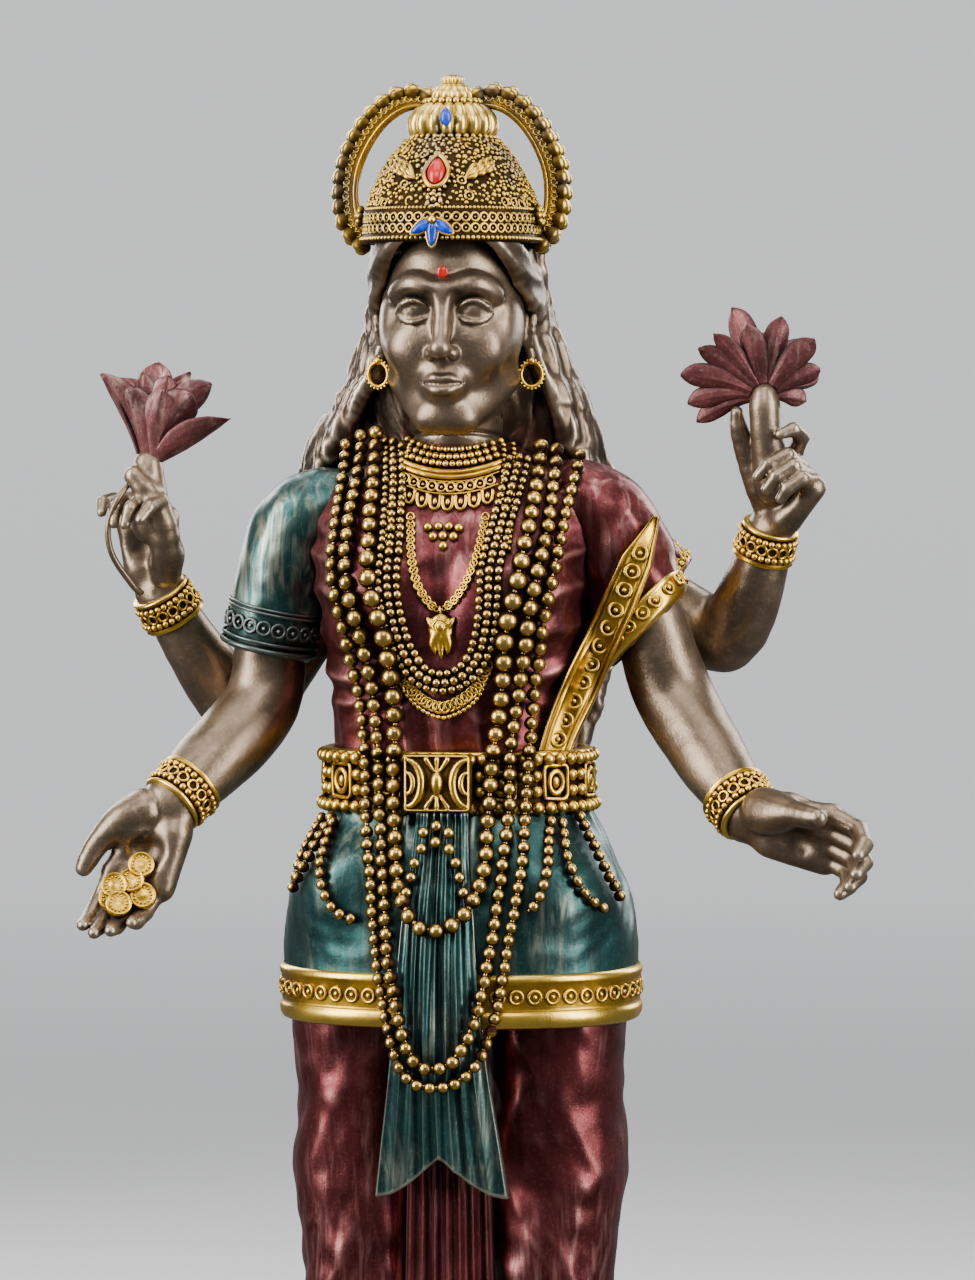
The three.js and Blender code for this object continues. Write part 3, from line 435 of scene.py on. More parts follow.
def outward(verts, faces):
    """Faces turned so that the closed mesh has a positive volume."""
    p = verts[faces]
    c = verts.mean(0)
    vol = np.einsum("ij,ij->i", p[:, 0] - c, np.cross(p[:, 1] - c, p[:, 2] - c)).sum()
    if faces.shape[1] == 4:
        vol += np.einsum("ij,ij->i", p[:, 0] - c, np.cross(p[:, 2] - c, p[:, 3] - c)).sum()
    return faces if vol > 0 else faces[:, ::-1]


# ---------------------------------------------------------------- materials
def node(tree, kind, inputs=None, **settings):
    n = tree.nodes.new(kind)
    for key, value in settings.items():
        setattr(n, key, value)
    for key, value in (inputs or {}).items():
        if isinstance(value, bpy.types.NodeSocket):
            tree.links.new(value, n.inputs[key])
        else:
            n.inputs[key].default_value = value
    return n


def maths(tree, operation, a, b=0.0, clamp=False):
    return node(tree, "ShaderNodeMath", {0: a, 1: b}, operation=operation, use_clamp=clamp).outputs[0]


def blend_colour(tree, factor, a, b, mode="MIX"):
    n = node(tree, "ShaderNodeMix", data_type="RGBA", blend_type=mode)
    for socket, value in ((n.inputs["Factor"], factor), (n.inputs[6], a), (n.inputs[7], b)):
        if isinstance(value, bpy.types.NodeSocket):
            tree.links.new(value, socket)
        else:
            socket.default_value = value if not isinstance(value, tuple) else (*value, 1)[:4]
    return n.outputs[2]


def noise(tree, coords, scale, detail=3.0, rough=0.55, distortion=0.0):
    return node(tree, "ShaderNodeTexNoise",
                {"Vector": coords, "Scale": scale, "Detail": detail, "Roughness": rough,
                                             "Distortion": distortion}).outputs["Fac"]


def ramp(tree, value, low, high):
    return node(tree, "ShaderNodeMapRange", {"Value": value, "From Min": low, "From Max": high},
                interpolation_type="SMOOTHSTEP").outputs["Result"]


def cast_metal(name, base, worn, dark, rough=0.34, metallic=0.9, rub=0.5, brush=None, patina_and_shade_strength=1.0, grain=0.5,
               shade=1.4, mottling=0.3, painted_shade_range=(0.28, 0.86), aged=None):
    """A metallic paint on a casting: mottled, rubbed bright on ridges and brush strokes, with dark patina in
    recesses and painted shade, from ambient occlusion where parts close in and at the sides of beads and
    rings.
    """
    m = bpy.data.materials.new(name)
    m.use_nodes = True
    t = m.node_tree
    t.nodes.clear()
    coords = node(t, "ShaderNodeTexCoord").outputs["Object"]
    wear_and_shade = node(t, "ShaderNodeAttribute", attribute_name="worn").outputs["Fac"]
    mottle = noise(t, coords, 150.0, 5.0, 0.6, 0.4)
    speck = noise(t, coords, 1900.0, 3.0, 0.6)
    low, high = (tuple(min(v * (1 + k * mottling), 1) for v in base) for k in (-1, 0.6))
    colour = blend_colour(t, ramp(t, mottle, 0.3, 0.72), low, high)
    colour = blend_colour(t, maths(t, "MULTIPLY", ramp(t, speck, 0.5, 0.8), 0.22 * grain), colour, worn)
    if aged:
        patchy = ramp(t, noise(t, coords, 95.0, 6.0, 0.68, 0.6), 0.47, 0.62)
        colour = blend_colour(t, maths(t, "MULTIPLY", patchy, aged[1]), colour, aged[0])
    rubbed = maths(t, "MULTIPLY", ramp(t, maths(t, "MULTIPLY", wear_and_shade, -1.0), 0.02, 0.22), rub)
    if brush:
        turned = node(t, "ShaderNodeMapping",
                      {"Vector": coords, "Rotation": brush["turn"], "Scale": brush["scale"]})
        strokes = ramp(t, noise(t, turned.outputs[0], 1.0, 5.0, 0.62, 0.8), brush["from"], brush["to"])
        patches = ramp(t, noise(t, coords, 60.0, 3.0, 0.5), 0.40, 0.66)
        strokes = maths(t, "MULTIPLY", maths(t, "MULTIPLY", strokes, patches), brush["amount"])
        rubbed = maths(t, "MAXIMUM", rubbed, strokes)
    colour = blend_colour(t, rubbed, colour, worn)
    # positive worn values: dark patina in grooves, and painted shade at the sides of beads and rings
    recess_and_shade = ramp(t, wear_and_shade, 0.02, 0.2)
    # painted shade: the ambient occlusion node darkens the colour where parts close in, as where beads lie on
    # cloth
    painted_shade = node(t, "ShaderNodeAmbientOcclusion", {"Distance": shade * MM}, samples=5).outputs["AO"]
    painted_shade = ramp(t, maths(t, "SUBTRACT", 1.0, painted_shade), *painted_shade_range)
    # patina and painted shade together, as one amount of darkening
    patina_and_shade = maths(t, "MULTIPLY", maths(t, "MAXIMUM", recess_and_shade, painted_shade), patina_and_shade_strength, clamp=True)
    patina_and_shade = maths(t, "MULTIPLY", patina_and_shade, ramp(t, mottle, 0.1, 0.45), clamp=True)
    colour = blend_colour(t, patina_and_shade, colour, dark)
    gloss = maths(t, "ADD", maths(t, "MULTIPLY", mottle, 0.22), rough - 0.11)
    gloss = maths(t, "ADD", gloss, maths(t, "MULTIPLY", patina_and_shade, 0.3), clamp=True)
    fine = noise(t, coords, 2600.0, 2.0, 0.6)
    rise = maths(t, "ADD", maths(t, "MULTIPLY", fine, 0.4),
                 maths(t, "MULTIPLY", noise(t, coords, 620.0, 4.0, 0.6), 0.8))
    bump = node(t, "ShaderNodeBump",
                {"Height": rise, "Strength": 0.35 * grain, "Distance": 0.25 * MM}).outputs["Normal"]
    shader = node(t, "ShaderNodeBsdfPrincipled",
                  {"Base Color": colour, "Metallic": metallic, "Roughness": gloss,
                                                    "Normal": bump})
    node(t, "ShaderNodeOutputMaterial", {"Surface": shader.outputs[0]})
    return m


BRONZE = cast_metal("bronze", (0.205, 0.146, 0.097), (0.62, 0.49, 0.35), (0.018, 0.012, 0.008), rough=0.37,
                    rub=0.42, grain=0.9)
HAIR = cast_metal("hair_bronze", (0.120, 0.084, 0.056), (0.60, 0.48, 0.35), (0.008, 0.005, 0.004),
                  rough=0.36, rub=0.60, painted_shade_range=(0.2, 0.75))
GOLD = cast_metal("gold", (0.78, 0.445, 0.040), (1.0, 0.71, 0.15), (0.034, 0.017, 0.006), rough=0.30,
                  metallic=1.0, rub=0.8, shade=1.8, painted_shade_range=(0.16, 0.72))
BRASS = cast_metal("bead_brass", (0.52, 0.315, 0.060), (0.92, 0.63, 0.19), (0.030, 0.014, 0.007), rough=0.27,
                   metallic=1.0, rub=0.75, shade=1.8, painted_shade_range=(0.14, 0.66))
OLD_GOLD = cast_metal("old_gold", (0.66, 0.395, 0.042), (1.0, 0.74, 0.20), (0.030, 0.017, 0.008), rough=0.31,
                      metallic=1.0,
                      rub=0.75, shade=1.8, painted_shade_range=(0.16, 0.72), aged=((0.27, 0.205, 0.140), 0.8))
MAROON = cast_metal("maroon", (0.100, 0.017, 0.018), (0.68, 0.31, 0.29), (0.014, 0.004, 0.004), rough=0.34,
                    metallic=0.8, rub=0.46,
                    brush={"turn": (0.25, 0.3, 0.2), "scale": (520, 520, 60), "from": 0.44, "to": 0.78,
                           "amount": 0.5})
TEAL = cast_metal("teal", (0.016, 0.063, 0.059), (0.49, 0.49, 0.38), (0.003, 0.009, 0.010), rough=0.34,
                  metallic=0.8, rub=0.60,
                  brush={"turn": (0.2, -0.3, 0.3), "scale": (520, 520, 60), "from": 0.42, "to": 0.76,
                         "amount": 0.7})
PETAL = cast_metal("petal", (0.150, 0.040, 0.040), (0.46, 0.31, 0.26), (0.030, 0.012, 0.011), rough=0.46,
                   metallic=0.55, rub=0.75, grain=1.3, mottling=0.45,
                   brush={"turn": (0.4, 0.3, 0.0), "scale": (620, 620, 240), "from": 0.46, "to": 0.74,
                          "amount": 0.75})
SLATE = cast_metal("slate_teal", (0.085, 0.112, 0.106), (0.55, 0.51, 0.42), (0.006, 0.008, 0.009),
                   rough=0.36, metallic=0.8, rub=0.8)

# ---------------------------------------------------------------- camera, light and floor
AIM = arr(4.6, 0.6, 184.5)
AZIMUTH, ELEVATION, DISTANCE = math.radians(8), math.radians(2.5), 820.0
FRAME_HEIGHT = 182.4
LIT_POINT = arr(0, 0, 180)  # what the lamps look at


def camera():
    data = bpy.data.cameras.new("camera")
    data.sensor_fit = "VERTICAL"
    data.sensor_height = 36.0
    data.lens = 36.0 * DISTANCE / FRAME_HEIGHT
    data.clip_start = 0.01
    obj = bpy.data.objects.new("camera", data)
    scene.collection.objects.link(obj)
    away = arr(math.sin(AZIMUTH) * math.cos(ELEVATION), -math.cos(AZIMUTH) * math.cos(ELEVATION),
               math.sin(ELEVATION))
    obj.location = Vector((AIM + away * DISTANCE) * MM)
    obj.rotation_euler = Vector(-away).to_track_quat("-Z", "Y").to_euler()
    scene.camera = obj


def softbox(name, azimuth, elevation, distance, width, height, power, tint=(1, 1, 1)):
    a, e = math.radians(azimuth), math.radians(elevation)
    away = arr(math.sin(a) * math.cos(e), -math.cos(a) * math.cos(e), math.sin(e))
    data = bpy.data.lights.new(name, "AREA")
    data.shape, data.size, data.size_y = "RECTANGLE", width * MM, height * MM
    data.energy, data.color = power, tint
    obj = bpy.data.objects.new(name, data)
    scene.collection.objects.link(obj)
    obj.location = Vector((LIT_POINT + away * distance) * MM)
    obj.rotation_euler = Vector(-away).to_track_quat("-Z", "Y").to_euler()
    obj.visible_camera = False


def surroundings():
    softbox("key_left", -58, 18, 620, 280, 620, 8.5)
    softbox("key_right", 66, 14, 620, 240, 620, 6.5)
    softbox("front_fill", 6, 42, 800, 420, 260, 2.6)
    softbox("top", 0, 86, 560, 420, 420, 2.4)
    softbox("rim_left", -140, 25, 620, 200, 520, 3.0)
    softbox("rim_right", 145, 25, 620, 200, 520, 3.0)
    world = bpy.data.worlds.new("studio")
    world.use_nodes = True
    world.node_tree.nodes["Background"].inputs["Color"].default_value = (0.80, 0.82, 0.86, 1)
    world.node_tree.nodes["Background"].inputs["Strength"].default_value = 0.20
    scene.world = world
    a = turns(96)
    rows = spline([(0, 0, 0), (700, 0, 0), (1700, 0, 0), (2300, 60, 0), (2650, 330, 0), (2780, 900, 0),
                   (2800, 2400, 0)], 60)[:, :2]
    grid = np.array([np.stack([r * np.cos(a), r * np.sin(a), z + 0 * a], -1) for r, z in rows])
    faces = grid_quads(60, 96)[:, [0, 3, 2, 1]]
    mesh = bpy.data.meshes.new("floor")
    mesh.from_pydata((grid.reshape(-1, 3) * MM).tolist(), [], faces.tolist())
    mesh.polygons.foreach_set("use_smooth", np.ones(len(faces), bool))
    far = np.repeat(np.clip((rows[:, 0] - 250) / 1500, 0, 1), 96)
    mesh.attributes.new("far", "FLOAT", "POINT").data.foreach_set("value", far.astype(np.float32))
    floor = bpy.data.objects.new("floor", mesh)
    scene.collection.objects.link(floor)
    m = bpy.data.materials.new("pale_paper")
    m.use_nodes = True
    t = m.node_tree
    shader = t.nodes["Principled BSDF"]
    shader.inputs["Roughness"].default_value = 0.85
    coords = node(t, "ShaderNodeTexCoord").outputs["Object"]
    spread = node(t, "ShaderNodeMapRange", {"Value": noise(t, coords, 900.0), "To Min": 0.70, "To Max": 0.74})
    t.links.new(spread.outputs[0], shader.inputs["Base Color"])
    shader.inputs["Emission Color"].default_value = (0.80, 0.81, 0.83, 1)
    away = node(t, "ShaderNodeAttribute", attribute_name="far").outputs["Fac"]
    t.links.new(maths(t, "MULTIPLY", away, 0.78), shader.inputs["Emission Strength"])
    mesh.materials.append(m)
    floor.visible_glossy = False
    floor.visible_diffuse = False


camera()
surroundings()


FORMS = {}


def save(name, mesh, material, replaces=(), reach=8, gain=1.0):
    v, f = mesh
    obj = object_from(name, v, f, material, {"worn": hollows(v, f, reach, gain)}, replaces)
    FORMS[name] = (v, f)
    return obj


# ---------------------------------------------------------------- head
def head():
    c = Clay((-13, -17, 203.5), (13, 16, 249), 0.26)
    c.put(egg((0, 1.2, 236), (10.2, 12.8, 12)), 0)
    c.put(egg((0, -2.4, 226.6), (8.8, 9.9, 12.2)), 3.0)
    c.put(egg((0, -8.7, 216.7), (3.0, 2.8, 2.7)), 2.8)
    for s in (-1, 1):
        c.put(rod((s * 7.1, -0.6, 221.8), (s * 2.6, -8.2, 216.2), 2.4, 2.2), 2.0)
        c.put(egg((s * 5.0, -8.6, 226.2), (3.4, 2.7, 3.2)), 2.6)
        c.put(egg((s * 8.0, -3.5, 229), (2.0, 4.5, 4.5)), 2.5)
        stem(c, [(s * 7.2, -8.8, 233.6, 0.9), (s * 4.4, -11.2, 234.8, 1.1), (s * 1.6, -12.2, 234.0, 1.0)], 8,
             1.7)
        c.put(egg((s * 4.15, -13.0, 231.5), (3.1, 2.3, 2.0)), 1.3, cut=True)
        c.put(egg((s * 1.9, -13.2, 231.6), (1.1, 1.2, 2.2)), 1.0, cut=True)
    c.put(rod((0, -11.7, 234.4), (0, -13.2, 228.4), 1.15, 1.1), 1.5)
    c.put(rod((0, -13.2, 228.6), (0, -14.5, 226.0), 1.05, 1.35), 0.8)
    c.put(egg((0, -14.3, 225.8), (1.5, 1.4, 1.25)), 0.6)
    for s in (-1, 1):
        c.put(egg((s * 1.6, -13.0, 225.2), (0.95, 1.3, 0.95)), 0.6)
        c.put(egg((s * 0.85, -13.9, 224.3), (0.55, 0.8, 0.45)), 0.3, cut=True)
        c.put(egg((s * 4.15, -9.55, 231.3), (2.55, 2.3, 2.35)), 0.25)
    # lids, brows
    for s in (-1, 1):
        stem(c, [(s * 1.9, -10.9, 230.8, 0.25), (s * 2.9, -11.75, 232.2, 0.35),
                 (s * 4.4, -11.95, 232.65, 0.38),
                 (s * 5.8, -11.35, 232.1, 0.42), (s * 6.9, -9.9, 230.9, 0.3)], 10, 0.3)
        stem(c, [(s * 2.0, -10.9, 230.6, 0.25), (s * 3.2, -11.65, 229.8, 0.32), (s * 4.6, -11.6, 229.6, 0.34),
                 (s * 6.0, -10.8, 230.0, 0.3), (s * 6.8, -9.9, 230.8, 0.25)], 10, 0.35)
        stem(c, [(s * 1.9, -12.7, 234.4, 0.28), (s * 4.0, -12.0, 235.7, 0.36), (s * 6.0, -10.5, 235.8, 0.32),
                 (s * 7.8, -8.2, 234.6, 0.2)], 10, 0.5)
        c.put(torus((s * 4.2, -11.75, 231.3), (0, 1, 0), 0.85, 0.14), 0.15, cut=True)
    # mouth
    c.put(egg((0, -11.5, 221.0), (3.0, 1.5, 2.3)), 2.0)
    for s in (-1, 1):
        stem(c, [(s * 2.75, -11.5, 221.1, 0.25), (s * 1.2, -12.95, 221.75, 0.46), (0, -13.2, 221.55, 0.46)],
             7, 0.45)
        stem(c, [(s * 2.4, -11.7, 220.8, 0.25), (s * 1.1, -12.8, 220.15, 0.58), (0, -13.1, 220.0, 0.66)], 7,
             0.5)
        stem(c, [(s * 2.95, -11.6, 221.1, 0.14), (s * 1.4, -13.3, 220.95, 0.15), (0, -13.8, 220.85, 0.15)],
             7, 0.25, cut=True)
    c.put(rod((0, -14.4, 224.0), (0, -13.9, 222.7), 0.42, 0.5), 0.5, cut=True)
    c.put(egg((0, -13.2, 218.3), (2.3, 0.9, 0.7)), 0.9, cut=True)
    # ears
    for s in (-1, 1):
        c.put(egg((s * 10.2, 1.4, 228.4), (1.0, 2.2, 3.4), ), 0.6)
        stem(c, [(s * 10.9, 0.2, 226.6, 0.45), (s * 11.2, -0.4, 229.4, 0.5), (s * 11.3, 1.2, 231.7, 0.55),
                 (s * 11.2, 3.0, 230.8, 0.5), (s * 11.0, 3.1, 228.4, 0.45), (s * 10.9, 2.0, 226.0, 0.5)], 14,
                 0.25)
        c.put(egg((s * 10.8, 1.2, 224.9), (0.8, 1.2, 1.5)), 0.5)
        c.put(egg((s * 11.4, 1.3, 229.0), (0.7, 0.9, 1.6)), 0.4, cut=True)
    # neck
    stem(c, [(0, 1.8, 204.2, 4.0), (0, 1.8, 209.5, 4.0)], 3, 0.2)
    stem(c, [(0, 2.0, 211.6, 6.1), (0, 1.9, 214.5, 5.7), (0, 1.2, 220.0, 6.3)], 8, 1.6)
    for z, y in ((213.4, 1.9), (216.3, 1.6)):
        c.put(torus((0, y, z), (0, 0.12, 1), 6.25, 0.28), 0.5, cut=True)
    return c.mesh(2)


save("head_casting", head(), BRONZE, ("head",), 10, 0.75)


# ---------------------------------------------------------------- cloth and body
def wobble(p, scale, seed, octaves=2):
    """Smooth wandering value from about -1 to 1 at points p, with features of about scale mm."""
    r = np.random.default_rng(seed)
    out = 0
    for o in range(octaves):
        k = r.normal(size=(5, 3)) * (2.2 / scale) * 2**o
        out = out + np.sin(p @ k.T + r.uniform(0, 6.28, 5)).mean(1) * 1.6 / 1.7**o
    return out


def crease(phase, sharp=2.0):
    """Soft rounded folds with narrower valleys, 0 to 1."""
    return 1 - np.abs(np.sin(phase / 2)) ** sharp


def pushed(verts, faces, amount):
    return verts + normals(verts, faces) * np.asarray(amount)[:, None]


TORSO = [(157, 17.4, 12.6, 0, 0.6), (166, 16.9, 12.2, 0, 0.5), (174, 17.2, 12.4, -0.2, 0.3),
         (183, 18.2, 12.9, -0.6, 0.1),
         (191, 19.2, 13.2, -0.6, 0), (198, 20.2, 12.4, -0.1, 0), (203, 20.4, 11.0, 0.6, 0),
         (207, 17.4, 9.4, 1.2, 0), (210, 12.2, 7.9, 1.6, 0), (212.5, 7.4, 6.6, 1.8, 0)]
TUNIC = [(131, 25.1, 19.2, 0, 0.9), (137, 25.3, 19.4, 0, 0.9), (147, 24.4, 18.6, 0, 0.8),
         (154, 21.8, 16.8, 0, 0.7), (161.5, 18.0, 13.8, 0, 0.6)]


def torso():
    c = Clay((-22.5, -18.5, 156), (22.5, 15, 214), 0.42)
    c.put(sections(TORSO, 2.25), 0)
    for s in (-1, 1):
        c.put(egg((s * 8.4, -8.0, 191.5), (7.6, 6.6, 7.6)), 4.5)
        c.put(egg((s * 8.6, 4.5, 193), (9, 8.6, 13)), 3)
    c.put(egg((0, -16.5, 191), (1.6, 2.6, 8)), 3.0, cut=True)
    c.put(egg((0, 15.4, 190), (1.6, 2.4, 20)), 2.5, cut=True)
    v, f = c.mesh(2)
    x, y, z = v.T
    gather = (crease(np.arctan2(x, -y) * 17 + 1.1 * wobble(v, 9, 3), 1.2) * (1 - smoothstep(170, 184, z))
              * smoothstep(158, 166, z))
    sides = smoothstep(9, 15, np.abs(x)) * (y < 6)
    pull = (crease((np.abs(x) * 0.55 - z * 0.95) * 1.35 + 1.3 * wobble(v, 10, 5), 1.6) * sides
            * smoothstep(172, 180, z) * (1 - smoothstep(196, 203, z)))
    under = (crease((z * 0.9 + np.abs(x) * 0.35) * 1.5 + 1.6 * wobble(v, 8, 8), 1.6) * smoothstep(-2, -9, y)
             * smoothstep(170, 176, z) * (1 - smoothstep(180, 187, z)))
    back = (crease(x * 1.15 + 0.03 * (z - 180) ** 2 * np.sign(x) * 0.2 + 1.3 * wobble(v, 12, 4), 1.4)
            * smoothstep(4, 9, y))
    v = pushed(v, f, 0.55 * gather + 0.62 * pull + 0.35 * under + 0.5 * back + 0.18 * wobble(v, 5, 6))
    return v, f


def tunic():
    c = Clay((-27, -21.5, 130), (29, 21.5, 162), 0.42)
    c.put(sections(TUNIC, 2.3), 0)
    for x in (-13.2, 14.9):
        c.put(egg((x * 0.92, -7.0, 149), (9.0, 10.4, 9)), 3.5)
    c.put(rod((-13.2, 0, 124), (-13.2, 0, 132.0), 8.0), 0.5, cut=True)
    c.put(rod((14.9, 0, 124), (14.9, 0, 132.0), 8.0), 0.5, cut=True)
    v, f = c.mesh(2)
    x, y, z = v.T
    a = np.arctan2(x, -y)
    waist = crease(a * 21 + 1.2 * wobble(v, 7, 12), 1.3) * smoothstep(150, 160, z)
    swing = (crease(x * 0.3 * np.sign(x) + z * 0.42 + 1.5 * wobble(v, 12, 13), 1.8)
             * (1 - smoothstep(152, 158, z)))
    above = 0.15 + 0.85 * smoothstep(138.6, 142, z)
    v = pushed(v, f, (0.5 * waist + 0.30 * swing + 0.14 * wobble(v, 5, 16)) * above)
    return v, f


def right_sleeve():
    points = [(-15.5, 0.8, 204.6, 4.2), (-20.0, 0.6, 203.0, 5.6), (-23.6, 0.8, 199.2, 6.2),
              (-25.4, 1.0, 192.0, 6.2), (-27.0, 1.5, 184.6, 6.2)]
    c = Clay((-36, -8, 178), (-12, 10, 212), 0.38)
    stem(c, points, 18, 0.8)
    c.put(brick((-28, 1.5, 176.4), (12, 12, 6.0), ((0.972, 0, -0.235), (0, 1, 0), (0.235, 0, 0.972)), 0.2),
          0.4, cut=True)
    v, f = c.mesh(2)
    x, _, z = v.T
    ring = crease((z * 0.8 + x * 0.75) * 1.25 + 1.5 * wobble(v, 7, 21), 1.5)
    fold = 0.32 * ring * smoothstep(203, 194, z) * smoothstep(-26, -20, x)
    return pushed(v, f, fold + 0.14 * wobble(v, 5, 22)), f


def left_sleeve():
    """The draped shoulder, cut off obliquely below, with the short sleeve of the rear arm behind it."""
    c = Clay((11, -10, 175), (38, 18, 213), 0.38)
    stem(c, [(13.5, 0.8, 205.2, 4.2), (18.5, 0.6, 204.2, 5.8), (22.6, 0.8, 200.6, 6.4),
             (25.0, 1.0, 194.0, 6.4), (26.0, 1.2, 187.0, 6.2), (26.6, 1.3, 181.0, 6.2)], 22, 0.8)
    c.put(brick((33.9, 1.5, 182.7), (14, 8.4, 7.0), ((0.707, 0, 0.707), (0, 1, 0), (-0.707, 0, 0.707)), 0.2),
          0.4, cut=True)
    stem(c, [(17.0, 7.0, 201.0, 4.6), (22.5, 9.6, 197.0, 5.3), (29.4, 11.4, 191.6, 5.5)], 12, 0.9)
    c.put(brick((34.6, 12.0, 188.2), (6.0, 7.0, 9.0), ((0.82, 0.12, -0.56), (0, 1, 0), (0.56, 0, 0.82)),
                0.2), 0.4, cut=True)
    v, f = c.mesh(2)
    x, y, z = v.T
    ring = crease((z * 0.62 - x * 0.9) * 1.1 + 1.3 * wobble(v, 9, 31), 1.6)
    pull = crease((x * 1.0 + z * 0.42) * 1.7 + 1.1 * wobble(v, 8, 33), 1.4) * smoothstep(0, -3, y)
    return pushed(v, f, (0.30 * ring + 0.22 * pull) * smoothstep(206, 197, z) + 0.14 * wobble(v, 5, 32)), f


save("torso_blouse", torso(), MAROON, ("torso",))
save("tunic_skirt", tunic(), TEAL, ("tunic",))
save("right_sleeve_cloth", right_sleeve(), TEAL, ("right_sleeve",))
save("left_drape_cloth", left_sleeve(), MAROON, ("left_drape",))


# ---------------------------------------------------------------- arms and hands
def hand_axes(along, palm, side):
    a = unit(arr(*along))
    n = arr(*palm)
    n = unit(n - a * (n @ a))
    return a, n, np.cross(a, n) * side


def hand(c, wrist, along, palm, side, bends, thumb, spread=0.05, length=1.0, plump=1.0):
    """Palm, four jointed fingers and a thumb pressed on to the clay. bends: three angles for each finger."""
    a, n, s = hand_axes(along, palm, side)
    w = arr(*wrist)

    def at(d, across, out):
        return w + (a * d + s * across + n * out) * length

    for k in range(4):
        across = (1.5 - k) * 2.02
        c.put(rod(at(-1, across * 0.5, -0.1), at(9.3, across, -0.1), 1.75 * length, 1.32 * length), 1.3)
    c.put(egg(at(4.2, 2.5, 0.7), arr(2.3, 2.3, 2.3) * length), 1.4)
    c.put(rod(at(2.6, -2.1, 0.3), at(8.8, -3.3, 0.2), 2.1 * length, 1.5 * length), 1.4)
    c.put(egg(at(5.8, -0.2, 2.5), arr(1.9, 1.9, 1.5) * length), 1.8, cut=True)
    c.put(rod(at(7.9, 3.2, 1.4), at(6.6, -3.4, 1.3), 0.08), 0.45, cut=True)
    c.put(rod(at(8.2, 1.6, 1.4), at(3.0, 0.8, 1.8), 0.08), 0.45, cut=True)
    for k, angles in enumerate(bends):
        across, lengths = (1.5 - k) * 2.02, arr(4.1, 2.9, 2.3) * (0.96, 1.06, 1.0, 0.82)[k]
        p = at(9.2, across, -0.05)
        lean, angle = (1.5 - k) * spread, 0.0
        c.put(egg(p, arr(1.25, 1.25, 1.25) * length), 0.7)
        for j, (reach, bend) in enumerate(zip(lengths, angles)):
            angle += bend
            q = p + (a * math.cos(angle) * math.cos(lean) + n * math.sin(angle)
                     + s * math.sin(lean) * math.cos(angle)) * reach * length
            r0, r1 = (1.12, 1.0, 0.92)[j] * length * plump, (0.95, 0.88, 0.70)[j] * length * plump
            c.put(rod(p, q, r0, r1), 0.28)
            p = q
    stem(c, [(*at(d, u, o), r * length) for d, u, o, r in thumb], 9, 0.35)


def arm(low, high, points, *hand_spec, neck=None, **more):
    """neck is the base of the flower that the hand holds, cast with it."""
    c = Clay(low, high, 0.34)
    stem(c, points, 20, 0.9)
    hand(c, *hand_spec, **more)
    if neck:
        stem(c, neck, 12, 0.6)
    v, f = c.mesh(2)
    return pushed(v, f, 0.05 * wobble(v, 4, 41)), f


RIGHT_PALM = ((-39.6, -10.8, 160.8), (-8.0, -4.4, -19.2), (0.02, -0.97, 0.24), 1)
save("right_front_arm_cast", arm(
    (-58, -28, 133), (-18, 9, 196),
    [(-25.6, 1, 194, 4.2), (-27, 1.8, 184, 4.8), (-27.6, 1.8, 177, 5.1), (-30.2, -0.6, 172.0, 5.3),
     (-34.6, -5.4, 166.8, 5.0), (-39.2, -10.2, 161.4, 3.6)], *RIGHT_PALM,
    [(0.20, 0.34, 0.38), (0.24, 0.38, 0.42), (0.30, 0.44, 0.44), (0.38, 0.50, 0.46)],
    [(1.4, 2.4, 0.7, 2.6), (4.0, 4.2, 1.2, 2.2), (6.6, 5.5, 1.4, 1.45), (8.9, 5.9, 1.4, 1.25),
     (10.4, 6.0, 1.4, 1.05)], -0.03, 1.2, plump=1.08),
    BRONZE, ("right_front_arm",))
save("left_front_arm_cast", arm(
    (20, -32, 142), (70, 9, 197),
    [(26.2, 1, 195, 4.3), (28.4, 1.8, 185, 5.0), (30.8, 2.0, 177.6, 5.4), (34.0, -0.6, 172.4, 5.2),
     (38.2, -5.4, 166.8, 4.7), (43.0, -10.4, 160.9, 3.5)],
    (43.6, -11.0, 160.3), (19, -3.5, -4.2), (0.05, -0.84, -0.52), -1,
    [(0.34, 0.66, 0.55), (0.38, 0.68, 0.55), (0.42, 0.70, 0.55), (0.50, 0.72, 0.55)],
    [(1.7, 2.2, 1.0, 2.7), (3.8, 3.3, 2.2, 2.3), (5.9, 4.6, 3.4, 1.45), (7.9, 5.4, 4.4, 1.3),
     (9.3, 6.1, 5.0, 1.1)],
    0.0, 1.24, plump=1.1),
    BRONZE, ("left_front_arm",))
save("right_rear_arm_cast", arm(
    (-55, -14, 165), (-6, 19, 216),
    [(-11, 8.5, 199, 3.6), (-21, 11.5, 189, 4.5), (-28.8, 13, 178, 4.8), (-32.4, 11.8, 173.0, 4.7),
     (-38.0, 8.4, 180.6, 4.3), (-43.4, 4, 190.8, 3.1)],
    (-43.8, 3.4, 191.8), (-1.6, -2.6, 17), (-0.38, -0.92, 0.0), 1,
    [(0.75, 0.95, 0.55), (0.75, 1.05, 0.75), (0.7, 1.1, 0.8), (0.5, 1.0, 0.8)],
    [(1.8, 1.9, 0.6, 2.0), (5.6, 3.0, 1.4, 2.0), (9.4, 3.4, 2.2, 1.8), (12.8, 2.4, 3.0, 1.6),
     (15.4, 0.9, 3.5, 1.4)], 0.24, 1.1,
    neck=[(-44.2, -0.2, 200.5, 2.5), (-44.2, -0.6, 204.4, 2.5), (-44.3, -0.9, 207.4, 2.1),
          (-44.3, -0.9, 209.7, 2.0)]),
    BRONZE, ("right_rear_arm",))
